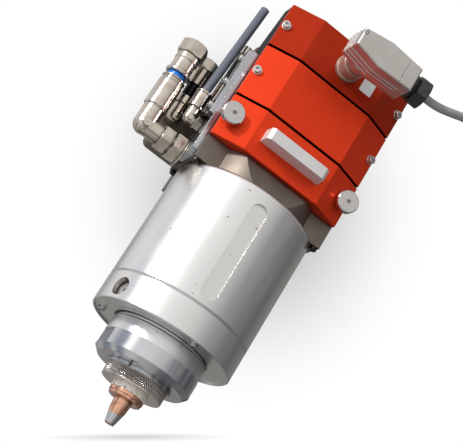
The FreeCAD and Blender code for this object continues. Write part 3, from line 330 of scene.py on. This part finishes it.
def satin_aluminium():
    """Satin aluminium with small brown nicks."""
    f = Finish("satin_aluminium", (0.74, 0.735, 0.725), 1.0, 0.31)
    f.mottle((0.70, 0.695, 0.685), 30, 0.35, 0.75)
    f.mottle((0.34, 0.29, 0.25), 210, 0.73, 0.77, 1.5, (1, 1, 2.2))
    f.vary_roughness(50, 0.02)
    return f.soften_edges(0.15 * MM).grain(3200, 0.12, 0.03 * MM)


def machined_aluminium():
    f = Finish("machined_aluminium", (0.54, 0.55, 0.58), 1.0, 0.24)
    f.mottle((0.44, 0.45, 0.48), 60, 0.35, 0.7)
    f.vary_roughness(90, 0.03)
    # painted shade in corners and grooves
    f.paint_shade_in_corners(2.5 * MM, 0.45)
    return f.soften_edges(0.35 * MM).grain(2800, 0.12, 0.03 * MM)


def handle_aluminium():
    f = Finish("handle_aluminium", (0.70, 0.69, 0.685), 0.45, 0.5)
    f.mottle((0.65, 0.64, 0.635), 60, 0.35, 0.7)
    return f.soften_edges(0.35 * MM).grain(2600, 0.15, 0.04 * MM)


def turned_steel():
    f = Finish("turned_steel", (0.60, 0.61, 0.63), 1.0, 0.15)
    f.mottle((0.50, 0.505, 0.52), 70, 0.4, 0.8)
    f.vary_roughness(90, 0.03)
    # painted shade in corners and grooves
    f.paint_shade_in_corners(2 * MM, 0.5)
    f.soften_edges(0.3 * MM)
    return f.turned_lines(0.18 * MM, 0.18)


def stainless():
    f = Finish("stainless", (0.60, 0.585, 0.57), 1.0, 0.26)
    f.mottle((0.55, 0.535, 0.52), 300, 0.35, 0.7)
    return f.soften_edges(0.2 * MM).grain(3500, 0.1, 0.02 * MM)


def lower_screws():
    """Screws under the block and the ring; those under the block are blackened."""
    f = Finish("lower_screws", (0.60, 0.585, 0.57), 1.0, 0.26)
    f.mix_colour(f.between("Z", BLACK_SCREWS_LOW, 0), (0.035, 0.032, 0.030))
    f.mottle_over(0.75, 300)
    return f.soften_edges(0.2 * MM)


def knurled_steel():
    """Steel with painted shade in the grooves of the knurled band, and plain ends and inside."""
    f = Finish("knurled_steel", (0.74, 0.69, 0.65), 1.0, 0.24)
    f.mottle((0.60, 0.55, 0.51), 190, 0.4, 0.75, 5)
    radius = f.axis_distance()
    low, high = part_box("clamping_nut")
    groove = f.ramp(radius, *(KNURL_RADIUS - depth for depth in GROOVE_SHADE))
    band = f.between("Z", low[2] + GROOVE_EDGE, high[2] - GROOVE_EDGE)
    outside = f.ramp(radius, *(KNURL_RADIUS - depth for depth in GROOVE_LIMIT))
    # painted shade in the knurl's grooves, darkest where they are deepest
    return f.mix_colour(f.times(f.times(groove, band), outside), (0.17, 0.15, 0.13))


def nickel_brass(name="nickel_brass", band=None):
    """Nickel-plated brass, with a black insulating band between two heights if asked."""
    f = Finish(name, (0.62, 0.555, 0.485), 1.0, 0.19)
    f.mottle((0.44, 0.375, 0.31), 110, 0.45, 0.75, 5)
    # painted shade in corners and grooves
    f.paint_shade_in_corners(2.5 * MM, 0.2)
    if band:
        f.mix_colour(f.between("Z", *band), (0.016, 0.016, 0.018))
    f.vary_roughness(160, 0.05)
    return f.soften_edges(0.35 * MM).grain(900, 0.1)


def connector_metal():
    f = Finish("connector_metal", (0.50, 0.37, 0.29), 0.6, 0.42)
    f.mottle((0.40, 0.28, 0.21), 120, 0.4, 0.75, 5)
    # painted shade in corners and grooves
    f.paint_shade_in_corners(2 * MM, 0.4)
    return f.soften_edges(0.35 * MM)


def copper_nozzle():
    """Stained copper with a plated tip, worn at its rim."""
    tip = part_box("nozzle")[0][2]
    f = Finish("copper_nozzle", (0.78, 0.43, 0.29), 1.0, 0.15)
    f.mottle((0.40, 0.19, 0.12), 260, 0.45, 0.72, 5)
    # painted shade in corners and grooves
    f.paint_shade_in_corners(2 * MM, 0.35)
    f.mix_colour(f.between("Z", tip, tip + NOZZLE_PLATED), (0.52, 0.53, 0.56))
    f.mix_colour(f.between("Z", tip + NOZZLE_RIM[0], tip + NOZZLE_RIM[1]), (0.55, 0.27, 0.16))
    f.soften_edges(0.25 * MM)
    return f.turned_lines(0.14 * MM, 0.12)


def ceramic():
    """Pale ceramic with brown stains and black spatter."""
    f = Finish("ceramic", (0.96, 0.90, 0.81), 0.0, 0.4)
    f.mottle((0.62, 0.47, 0.34), 230, 0.5, 0.75, 6)
    f.mottle((0.10, 0.07, 0.05), 420, 0.60, 0.68, 4)
    return f.soften_edges(0.3 * MM).grain(1500, 0.2)


def glass():
    f = Finish("optical_glass", (0.93, 0.97, 0.96), 0.0, 0.03)
    f.set_value("Transmission Weight", 1.0)
    f.set_value("IOR", 1.46)
    return f


def clear_tube():
    f = Finish("clear_tube", (0.17, 0.19, 0.24), 0.0, 0.14)
    f.set_value("Transmission Weight", 0.3)
    f.set_value("IOR", 1.5)
    return f.mottle((0.12, 0.135, 0.175), 40, stretch=(1, 1, 0.05))


def rubber():
    f = Finish("black_rubber", (0.018, 0.018, 0.019), 0.0, 0.55)
    return f.mottle((0.035, 0.034, 0.033), 150).grain(1200, 0.2)


def black_plastic():
    f = Finish("black_plastic", (0.022, 0.021, 0.021), 0.0, 0.38)
    f.mottle((0.045, 0.043, 0.041), 130, 0.4, 0.8)
    return f.soften_edges(0.4 * MM).grain(1100, 0.18)


def blue_plastic():
    f = Finish("blue_plastic", (0.0, 0.20, 0.72), 0.0, 0.3)
    f.mottle((0.0, 0.14, 0.52), 120)
    return f.soften_edges(0.3 * MM).grain(900, 0.08)


def hood_metal():
    """Cast grey metal, with a painted highlight along each grip rib."""
    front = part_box("connector_hood")[0][1]
    f = Finish("hood_metal", (0.56, 0.53, 0.50), 0.85, 0.38)
    f.mottle((0.50, 0.47, 0.44), 70, 0.35, 0.75, 5)
    for depth in HOOD_RIBS:
        low, high = (front + depth - inset for inset in HOOD_RIB_HIGHLIGHT)
        # painted highlight along the grip rib
        f.mix_colour(f.between("Y", low, high), (0.93, 0.86, 0.78))
    f.vary_roughness(90, 0.05)
    return f.soften_edges(0.6 * MM).grain(1300, 0.35, 0.06 * MM)


def grey_cable():
    f = Finish("grey_cable", (0.30, 0.298, 0.288), 0.0, 0.42)
    f.mottle((0.25, 0.248, 0.24), 80)
    return f.grain(700, 0.15, 0.08 * MM)


def label_plate():
    """Bare plate: matt, pale, with faint handling marks."""
    f = Finish("label_plate", (0.95, 0.96, 0.98), 0.0, 0.4)
    f.mottle((0.89, 0.90, 0.92), 240)
    return f.soften_edges(0.15 * MM)


finishes = {
    "red_anodised": red_anodised(),
    "black_anodised": black_anodised(),
    "grey_blasted": blasted_grey(),
    "satin_aluminium": satin_aluminium(),
    "machined_aluminium": machined_aluminium(),
    "bright_steel": turned_steel(),
    "stainless_screws": stainless(),
    "nickel_brass": nickel_brass(),
    "copper": copper_nozzle(),
    "ceramic_white": ceramic(),
    "optical_glass": glass(),
    "black_rubber": rubber(),
    "hood_metal": hood_metal(),
    "black_plastic": black_plastic(),
    "blue_plastic": blue_plastic(),
    "clear_tube": clear_tube(),
    "grey_cable": grey_cable(),
}


def paint(obj, finish):
    """Gives an object one finish."""
    obj.data.materials.clear()
    obj.data.materials.append(finish.mat)


def paint_nodes():
    """Paints every node by its slot, and then those with a finish of their own."""
    for part in frame["record"]["subparts"]:
        paint(nodes[part["node"]], finishes[part["material_slot"]])
    connector = connector_metal()
    own = {
        "lower_screws": lower_screws(),
        # the upper cover gets a darker copy of the red as painted shade
        "upper_cover": red_anodised("red_anodised_upper_painted_shade", UPPER_COVER_PAINTED_SHADE),
        "connector_receptacle": connector,
        "connector_coupling_ring": connector,
        "drawer_handle": handle_aluminium(),
        "neck_ring": finishes["satin_aluminium"],
        "rear_gas_fitting": nickel_brass("banded_brass", INSULATING_BAND),
    }
    for name, finish in own.items():
        paint(nodes[name], finish)


paint_nodes()


def new_piece(name, mesh, body, slot_name, finish=None):
    """Links a mesh as a piece that rides on a body."""
    obj = add_object(name, mesh)
    paint(obj, finish or finishes[slot_name])
    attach(obj, body)
    return obj


def made_mesh(name, bm):
    """Mesh made from a bmesh, which is freed."""
    mesh = bpy.data.meshes.new(name)
    bm.to_mesh(mesh)
    bm.free()
    return mesh


def join_rings(bm, rings):
    """Joins rings of points by quads, and the last ring with the first."""
    count = len(rings[0])
    for a, b in zip(rings, rings[1:] + rings[:1]):
        for i in range(count):
            j = (i + 1) % count
            bm.faces.new((a[i], a[j], b[j], b[i]))
    bmesh.ops.recalc_face_normals(bm, faces=bm.faces)


# Lead: the route's points, as the solid's, in millimetres
GLAND_END = 45.7
GLAND_Y = -73.5
CONNECTOR_Z = -18.9
LEAD_POINTS = [
    (GLAND_END, GLAND_Y, CONNECTOR_Z),
    (GLAND_END + 10, GLAND_Y, CONNECTOR_Z),
    (GLAND_END + 22.6, GLAND_Y + 0.5, CONNECTOR_Z + 3.9),
    (GLAND_END + 36, GLAND_Y + 1.5, CONNECTOR_Z + 9.4),
    (GLAND_END + 54, GLAND_Y + 3.0, CONNECTOR_Z + 13.5),
    (GLAND_END + 74, GLAND_Y + 4.5, CONNECTOR_Z + 11.5),
    (GLAND_END + 92, GLAND_Y + 6.0, CONNECTOR_Z + 2.0),
    (GLAND_END + 105, GLAND_Y + 7.0, CONNECTOR_Z - 12.0),
    (GLAND_END + 113, GLAND_Y + 8.0, CONNECTOR_Z - 29.0),
    (GLAND_END + 117, GLAND_Y + 9.0, CONNECTOR_Z - 46.0),
]
LEAD_DIAMETER = 6 * MM
LEAD_ROUNDNESS = 6
LEAD_STEPS = 16


def add_lead():
    """The connector's lead as one smooth curve."""
    data = bpy.data.curves.new("lead", "CURVE")
    data.dimensions = "3D"
    data.bevel_depth = LEAD_DIAMETER / 2
    data.bevel_resolution = LEAD_ROUNDNESS
    data.resolution_u = LEAD_STEPS
    data.use_fill_caps = True
    spline = data.splines.new("NURBS")
    spline.points.add(len(LEAD_POINTS) - 1)
    for point, place in zip(spline.points, LEAD_POINTS):
        point.co = (*(c * MM for c in place), 1)
    spline.order_u = 3
    spline.use_endpoint_u = True
    obj = add_object("lead", data)
    obj.data.materials.append(finishes["grey_cable"].mat)
    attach(obj, "head")
    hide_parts("connector_lead")


add_lead()


# Clear tube: foot, lean and length, as the solid's, in millimetres
TUBE_FOOT = (-67.6, -5.0, -84.8)
TUBE_LEAN = (2.6, -3.0, 79.0)
TUBE_LENGTH = 79.0
TUBE_DIAMETER = 6.4 * MM
TUBE_BORE = 4.0 * MM
TUBE_EDGE = 0.3 * MM
TUBE_SIDES = 32
TUBE_STEPS = 8


def add_air_tube():
    """The clear stiff tube as one drawn tube, straight as it is pushed in."""
    along = Vector(TUBE_LEAN).normalized()
    foot = Vector(TUBE_FOOT)
    path = [(foot + along * TUBE_LENGTH * i / TUBE_STEPS) * MM for i in range(TUBE_STEPS + 1)]
    side = along.cross(Vector((0, 1, 0))).normalized()
    front = along.cross(side)
    start, end = path[0], path[-1]
    outer = TUBE_DIAMETER / 2
    inner = TUBE_BORE / 2
    profile = [
        (outer, start),
        (outer, end - along * TUBE_EDGE),
        (outer - TUBE_EDGE, end),
        (inner, end),
        (inner, start),
    ]
    bm = bmesh.new()
    rings = []
    for radius, centre in profile:
        ring = []
        for i in range(TUBE_SIDES):
            angle = 2 * math.pi * i / TUBE_SIDES
            ring.append(bm.verts.new(centre + radius * (math.cos(angle) * side + math.sin(angle) * front)))
        rings.append(ring)
    join_rings(bm, rings)
    obj = new_piece("clear_air_tube", made_mesh("clear_air_tube", bm), "head", "clear_tube")
    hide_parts("air_tube")


add_air_tube()


# Knurled nut: its bore below and above the inner lip, and the crossed knurl
NUT_BORE_LOW = 12.9 * MM
NUT_BORE_HIGH = 17.05 * MM
NUT_LIP = 2.0 * MM
NUT_EDGE = 0.5 * MM
KNURL_RIDGES = 92
KNURL_DEPTH = 0.6 * MM
KNURL_SLANT = 0.62
KNURL_COLUMNS = 644
KNURL_ROWS = 34


def triangle_wave(x):
    """Goes from 0 to 1 and back over each unit."""
    x = x % 1.0
    return 2 * x if x < 0.5 else 2 - 2 * x


def add_knurled_nut():
    """Clamping nut with a diamond knurl, over the solid's own profile."""
    low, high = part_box("clamping_nut")
    z0, z1 = low[2], high[2]
    outer = KNURL_RADIUS
    height = z1 - z0 - 2 * NUT_EDGE
    profile = [(NUT_BORE_LOW, z0 + NUT_LIP), (NUT_BORE_LOW, z0), (outer - NUT_EDGE, z0)]
    profile += [(outer, z0 + NUT_EDGE + height * i / KNURL_ROWS) for i in range(KNURL_ROWS + 1)]
    profile += [(outer - NUT_EDGE, z1), (NUT_BORE_HIGH, z1), (NUT_BORE_HIGH, z0 + NUT_LIP)]
    ridge_width = 2 * math.pi * outer / KNURL_RIDGES
    bm = bmesh.new()
    rings = []
    for r, z in profile:
        ring = []
        for i in range(KNURL_COLUMNS):
            angle = 2 * math.pi * i / KNURL_COLUMNS
            radius = r
            if r == outer:
                around = KNURL_RIDGES * i / KNURL_COLUMNS
                rise = (z - z0) / ridge_width * KNURL_SLANT
                crest = min(triangle_wave(around + rise), triangle_wave(around - rise))
                radius = r - KNURL_DEPTH * (1 - crest)
            ring.append(bm.verts.new((radius * math.cos(angle), radius * math.sin(angle), z)))
        rings.append(ring)
    join_rings(bm, rings)
    obj = new_piece("knurled_nut", made_mesh("knurled_nut", bm), "nut", "bright_steel", knurled_steel())
    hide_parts("clamping_nut")


add_knurled_nut()


# Small trim in millimetres: the bare plate on the upper cover and the screw in the hood's lid
FRONT_Y = -38.5
LABEL_LOW = (14.5, -25.6)
LABEL_HIGH = (24.4, -13.4)
LABEL_PROUD = 0.25
LABEL_SUNK = 0.05
LABEL_CORNER = 0.6
LABEL_CORNER_STEPS = 4
HOOD_FRONT_Y = -85.0
LID_SCREW = (-13.9, -15.2)
LID_HOLE_RADIUS = 1.5
LID_HEAD_SHARE = 0.62
LID_HOLE_PROUD = 0.02
LID_HEAD_PROUD = 0.04
DISC_SUNK = 0.02
DISC_SIDES = 32


def extrude_y(points, y_back, y_front):
    """Closed prism from an outline in X and Z, in millimetres."""
    bm = bmesh.new()
    back = [bm.verts.new((x * MM, y_back * MM, z * MM)) for x, z in points]
    front = [bm.verts.new((x * MM, y_front * MM, z * MM)) for x, z in points]
    bm.faces.new(back)
    bm.faces.new(front)
    for i in range(len(points)):
        j = (i + 1) % len(points)
        bm.faces.new((back[i], back[j], front[j], front[i]))
    bmesh.ops.recalc_face_normals(bm, faces=bm.faces)
    return bm


def add_label():
    """Bare plate with rounded corners on the upper cover."""
    points = []
    corners = [(LABEL_HIGH[0], LABEL_HIGH[1]), (LABEL_LOW[0], LABEL_HIGH[1]),
               (LABEL_LOW[0], LABEL_LOW[1]), (LABEL_HIGH[0], LABEL_LOW[1])]
    for quarter, (x, z) in enumerate(corners):
        x += -LABEL_CORNER if quarter in (0, 3) else LABEL_CORNER
        z += -LABEL_CORNER if quarter in (0, 1) else LABEL_CORNER
        for step in range(LABEL_CORNER_STEPS + 1):
            angle = math.pi / 2 * (quarter + step / LABEL_CORNER_STEPS)
            points.append((x + LABEL_CORNER * math.cos(angle), z + LABEL_CORNER * math.sin(angle)))
    bm = extrude_y(points, FRONT_Y + LABEL_SUNK, FRONT_Y - LABEL_PROUD)
    new_piece("label_plate", made_mesh("label_plate", bm), "head", "satin_aluminium", label_plate())


def add_disc(name, radius, proud, slot_name):
    """Thin round plate on the hood's lid."""
    points = []
    for i in range(DISC_SIDES):
        angle = 2 * math.pi * i / DISC_SIDES
        points.append((LID_SCREW[0] + radius * math.cos(angle), LID_SCREW[1] + radius * math.sin(angle)))
    bm = extrude_y(points, HOOD_FRONT_Y + DISC_SUNK, HOOD_FRONT_Y - proud)
    new_piece(name, made_mesh(name, bm), "head", slot_name)


def add_lid_screw():
    """Small sunk screw in the corner of the hood's lid, on a black disc that is painted shade standing for
    its hole.
    """
    # painted shade: a thin black disc stands for the dark hole round the screw
    add_disc("lid_screw_hole_shade", LID_HOLE_RADIUS, LID_HOLE_PROUD, "black_plastic")
    add_disc("lid_screw", LID_HOLE_RADIUS * LID_HEAD_SHARE, LID_HEAD_PROUD, "stainless_screws")


add_label()
add_lid_screw()

# Studio: directions are given as right, up and back of the photograph's camera
LIGHT_SIDE = (-0.38, 0.82, 0.42)
KEY_DISTANCE = 1.2
KEY_SIZE = 0.16
KEY_POWER = 10.5
KEY_COLOUR = (1.0, 0.985, 0.96)
# Brightness of the surroundings from the side away from the light to the light side
SURROUND = [(-1.0, (0.17, 0.165, 0.155)), (-0.4, (0.39, 0.375, 0.36)), (0.2, (0.80, 0.785, 0.77)),
            (0.8, (1.0, 0.995, 0.99))]
# Darker, bluish things in the surroundings
CLUTTER_SCALE = 2.6
CLUTTER_DETAIL = 1.0
CLUTTER_COLOUR = (0.40, 0.44, 0.52)
CLUTTER_RANGE = (0.46, 0.60)
# A side of the surroundings with nothing in it, in front of the covers, in the object's own axes
OPEN_SIDE = Vector((-0.185, -0.905, 0.38))
OPEN_RANGE = (0.62, 0.88)
# Painted shadow round the object, a soft grey halo on the background: centre and half sizes, to the right and
# up, and its brightness outwards
HALO_CENTRE = (0.0146, 0.019)
HALO_HALF = (0.1185, 0.1343)
HALO_EDGE = 1.25
HALO_SHADOW = [(0.4, 0.56), (0.8, 0.835), (1.0, 0.95), (1.2, 1.0)]
# Floor under the tip: its centre from the camera's target in millimetres, and the painted shadow on it
FLOOR_PLACE = (-62.6, -139.6, 20.0)
FLOOR_TILT = math.radians(-6.8)
FLOOR_HALF = 120 * MM
PAINTED_SHADOW_RADIUS = 64 * MM
PAINTED_SHADOW_BRIGHTNESS = 0.64


def in_view(place):
    """Vector from its right, up and back parts."""
    return place[0] * RIGHT + place[1] * UP + place[2] * BACK


def add_key():
    """The one lamp: a small soft box up to the left of the camera."""
    data = bpy.data.lights.new("key", "AREA")
    data.size = KEY_SIZE
    data.energy = KEY_POWER
    data.color = KEY_COLOUR
    obj = add_object("key", data)
    towards = in_view(LIGHT_SIDE).normalized()
    obj.location = TARGET + KEY_DISTANCE * towards
    obj.rotation_euler = (-towards).to_track_quat("-Z", "Y").to_euler()


def add_math(tree, operation, a, b=0.0, clamp=False):
    """Math node on two sockets or numbers."""
    made = tree.nodes.new("ShaderNodeMath")
    made.operation = operation
    made.use_clamp = clamp
    for socket, value in zip(made.inputs, (a, b)):
        if isinstance(value, (int, float)):
            socket.default_value = value
        else:
            tree.links.new(value, socket)
    return made.outputs[0]


def add_share(tree, value, none, full):
    """Share from zero to one of the way between two values, clamped."""
    return add_math(tree, "DIVIDE", add_math(tree, "SUBTRACT", value, none), full - none, True)


def add_dot(tree, vector, axis):
    """Part of a vector along a fixed direction."""
    made = tree.nodes.new("ShaderNodeVectorMath")
    made.operation = "DOT_PRODUCT"
    made.inputs[1].default_value = axis
    tree.links.new(vector, made.inputs[0])
    return made.outputs["Value"]


def add_ramp(tree, value, stops, low, high):
    """Colour ramp with its stops given in the value's own units."""
    span = high - low
    scaled = add_math(tree, "DIVIDE", add_math(tree, "SUBTRACT", value, low), span)
    made = tree.nodes.new("ShaderNodeValToRGB")
    elements = made.color_ramp.elements
    while len(elements) < len(stops):
        elements.new(1.0)
    for element, (place, colour) in zip(elements, stops):
        element.position = (place - low) / span
        element.color = (*colour, 1) if isinstance(colour, tuple) else (colour, colour, colour, 1)
    tree.links.new(scaled, made.inputs["Fac"])
    return made.outputs["Color"]


def add_either(tree, share, first, second):
    """Mix of two shaders."""
    mix = tree.nodes.new("ShaderNodeMixShader")
    tree.links.new(share, mix.inputs[0])
    tree.links.new(first, mix.inputs[1])
    tree.links.new(second, mix.inputs[2])
    return mix.outputs[0]


def add_glow(tree, kind, colour):
    """Background or emission shader of one colour."""
    made = tree.nodes.new(kind)
    tree.links.new(colour, made.inputs["Color"])
    return made.outputs[0]


def halo_shadow_colour(tree, direction):
    """White with a painted shadow round the object, a soft grey halo."""
    squares = []
    for axis, centre, half in zip((RIGHT, UP), HALO_CENTRE, HALO_HALF):
        away = add_math(tree, "SUBTRACT", add_dot(tree, direction, axis), centre)
        squares.append(add_math(tree, "POWER", add_math(tree, "DIVIDE", away, half), 2))
    radius = add_math(tree, "SQRT", add_math(tree, "ADD", *squares))
    return add_ramp(tree, radius, HALO_SHADOW, 0, HALO_EDGE)


def surround_colour(tree, direction):
    """One-sided studio light with darker things here and there."""
    noise = tree.nodes.new("ShaderNodeTexNoise")
    noise.inputs["Scale"].default_value = CLUTTER_SCALE
    noise.inputs["Detail"].default_value = CLUTTER_DETAIL
    tree.links.new(direction, noise.inputs["Vector"])
    open_from, open_full = OPEN_RANGE
    amount = add_share(tree, noise.outputs["Fac"], *CLUTTER_RANGE)
    closed = add_share(tree, add_dot(tree, direction, OPEN_SIDE), open_full, open_from)
    side = add_dot(tree, direction, in_view(LIGHT_SIDE).normalized())
    clutter = tree.nodes.new("ShaderNodeMix")
    clutter.data_type = "RGBA"
    clutter.blend_type = "MULTIPLY"
    clutter.inputs[MIX_B].default_value = (*CLUTTER_COLOUR, 1)
    tree.links.new(add_math(tree, "MULTIPLY", amount, closed), clutter.inputs[MIX_FACTOR])
    tree.links.new(add_ramp(tree, side, SURROUND, -1, 1), clutter.inputs[MIX_A])
    return clutter.outputs[MIX_RESULT]


def add_world():
    """Painted shadow halo on white to the camera and through glass, studio light to the object."""
    world = bpy.data.worlds.new("studio")
    bpy.context.scene.world = world
    world.use_nodes = True
    tree = world.node_tree
    tree.nodes.clear()
    direction = tree.nodes.new("ShaderNodeTexCoord").outputs["Generated"]
    paths = tree.nodes.new("ShaderNodeLightPath")
    seen = add_math(tree, "MAXIMUM", paths.outputs["Is Camera Ray"], paths.outputs["Is Transmission Ray"])
    studio = add_glow(tree, "ShaderNodeBackground", surround_colour(tree, direction))
    # white background with the painted shadow halo, seen by the camera and through glass
    plain = add_glow(tree, "ShaderNodeBackground", halo_shadow_colour(tree, direction))
    out = tree.nodes.new("ShaderNodeOutputWorld")
    tree.links.new(add_either(tree, seen, studio, plain), out.inputs["Surface"])


def pale_floor():
    """Material that glows white with a painted round shadow, shown only to the camera and only from above."""
    mat = bpy.data.materials.new("pale_floor")
    mat.use_nodes = True
    tree = mat.node_tree
    tree.nodes.clear()
    coords = tree.nodes.new("ShaderNodeTexCoord").outputs["Object"]
    length = tree.nodes.new("ShaderNodeVectorMath")
    length.operation = "LENGTH"
    tree.links.new(coords, length.inputs[0])
    # painted shadow: darker in the middle, white outwards
    stops = [(0, PAINTED_SHADOW_BRIGHTNESS), (PAINTED_SHADOW_RADIUS, 1.0)]
    glow = add_glow(tree, "ShaderNodeEmission", add_ramp(tree, length.outputs["Value"], stops, 0, FLOOR_HALF))
    clear = tree.nodes.new("ShaderNodeBsdfTransparent").outputs[0]
    back = tree.nodes.new("ShaderNodeNewGeometry").outputs["Backfacing"]
    seen = tree.nodes.new("ShaderNodeLightPath").outputs["Is Camera Ray"]
    shown = add_math(tree, "MULTIPLY", seen, add_math(tree, "SUBTRACT", 1.0, back))
    out = tree.nodes.new("ShaderNodeOutputMaterial")
    tree.links.new(add_either(tree, shown, clear, glow), out.inputs["Surface"])
    return mat


def add_floor():
    """Pale floor with a faint painted round shadow under the tip, open from below."""
    normal = math.cos(FLOOR_TILT) * UP + math.sin(FLOOR_TILT) * BACK
    depth = normal.cross(RIGHT)
    bm = bmesh.new()
    signs = ((-1, -1), (1, -1), (1, 1), (-1, 1))
    bm.faces.new([bm.verts.new((x * FLOOR_HALF, y * FLOOR_HALF, 0)) for x, y in signs])
    floor = add_object("floor", made_mesh("floor", bm))
    floor.matrix_world = placed(RIGHT, depth, normal, TARGET + in_view(FLOOR_PLACE) * MM)
    floor.data.materials.append(pale_floor())


add_world()
add_key()
add_floor()

bpy.context.scene.view_settings.view_transform = "Standard"
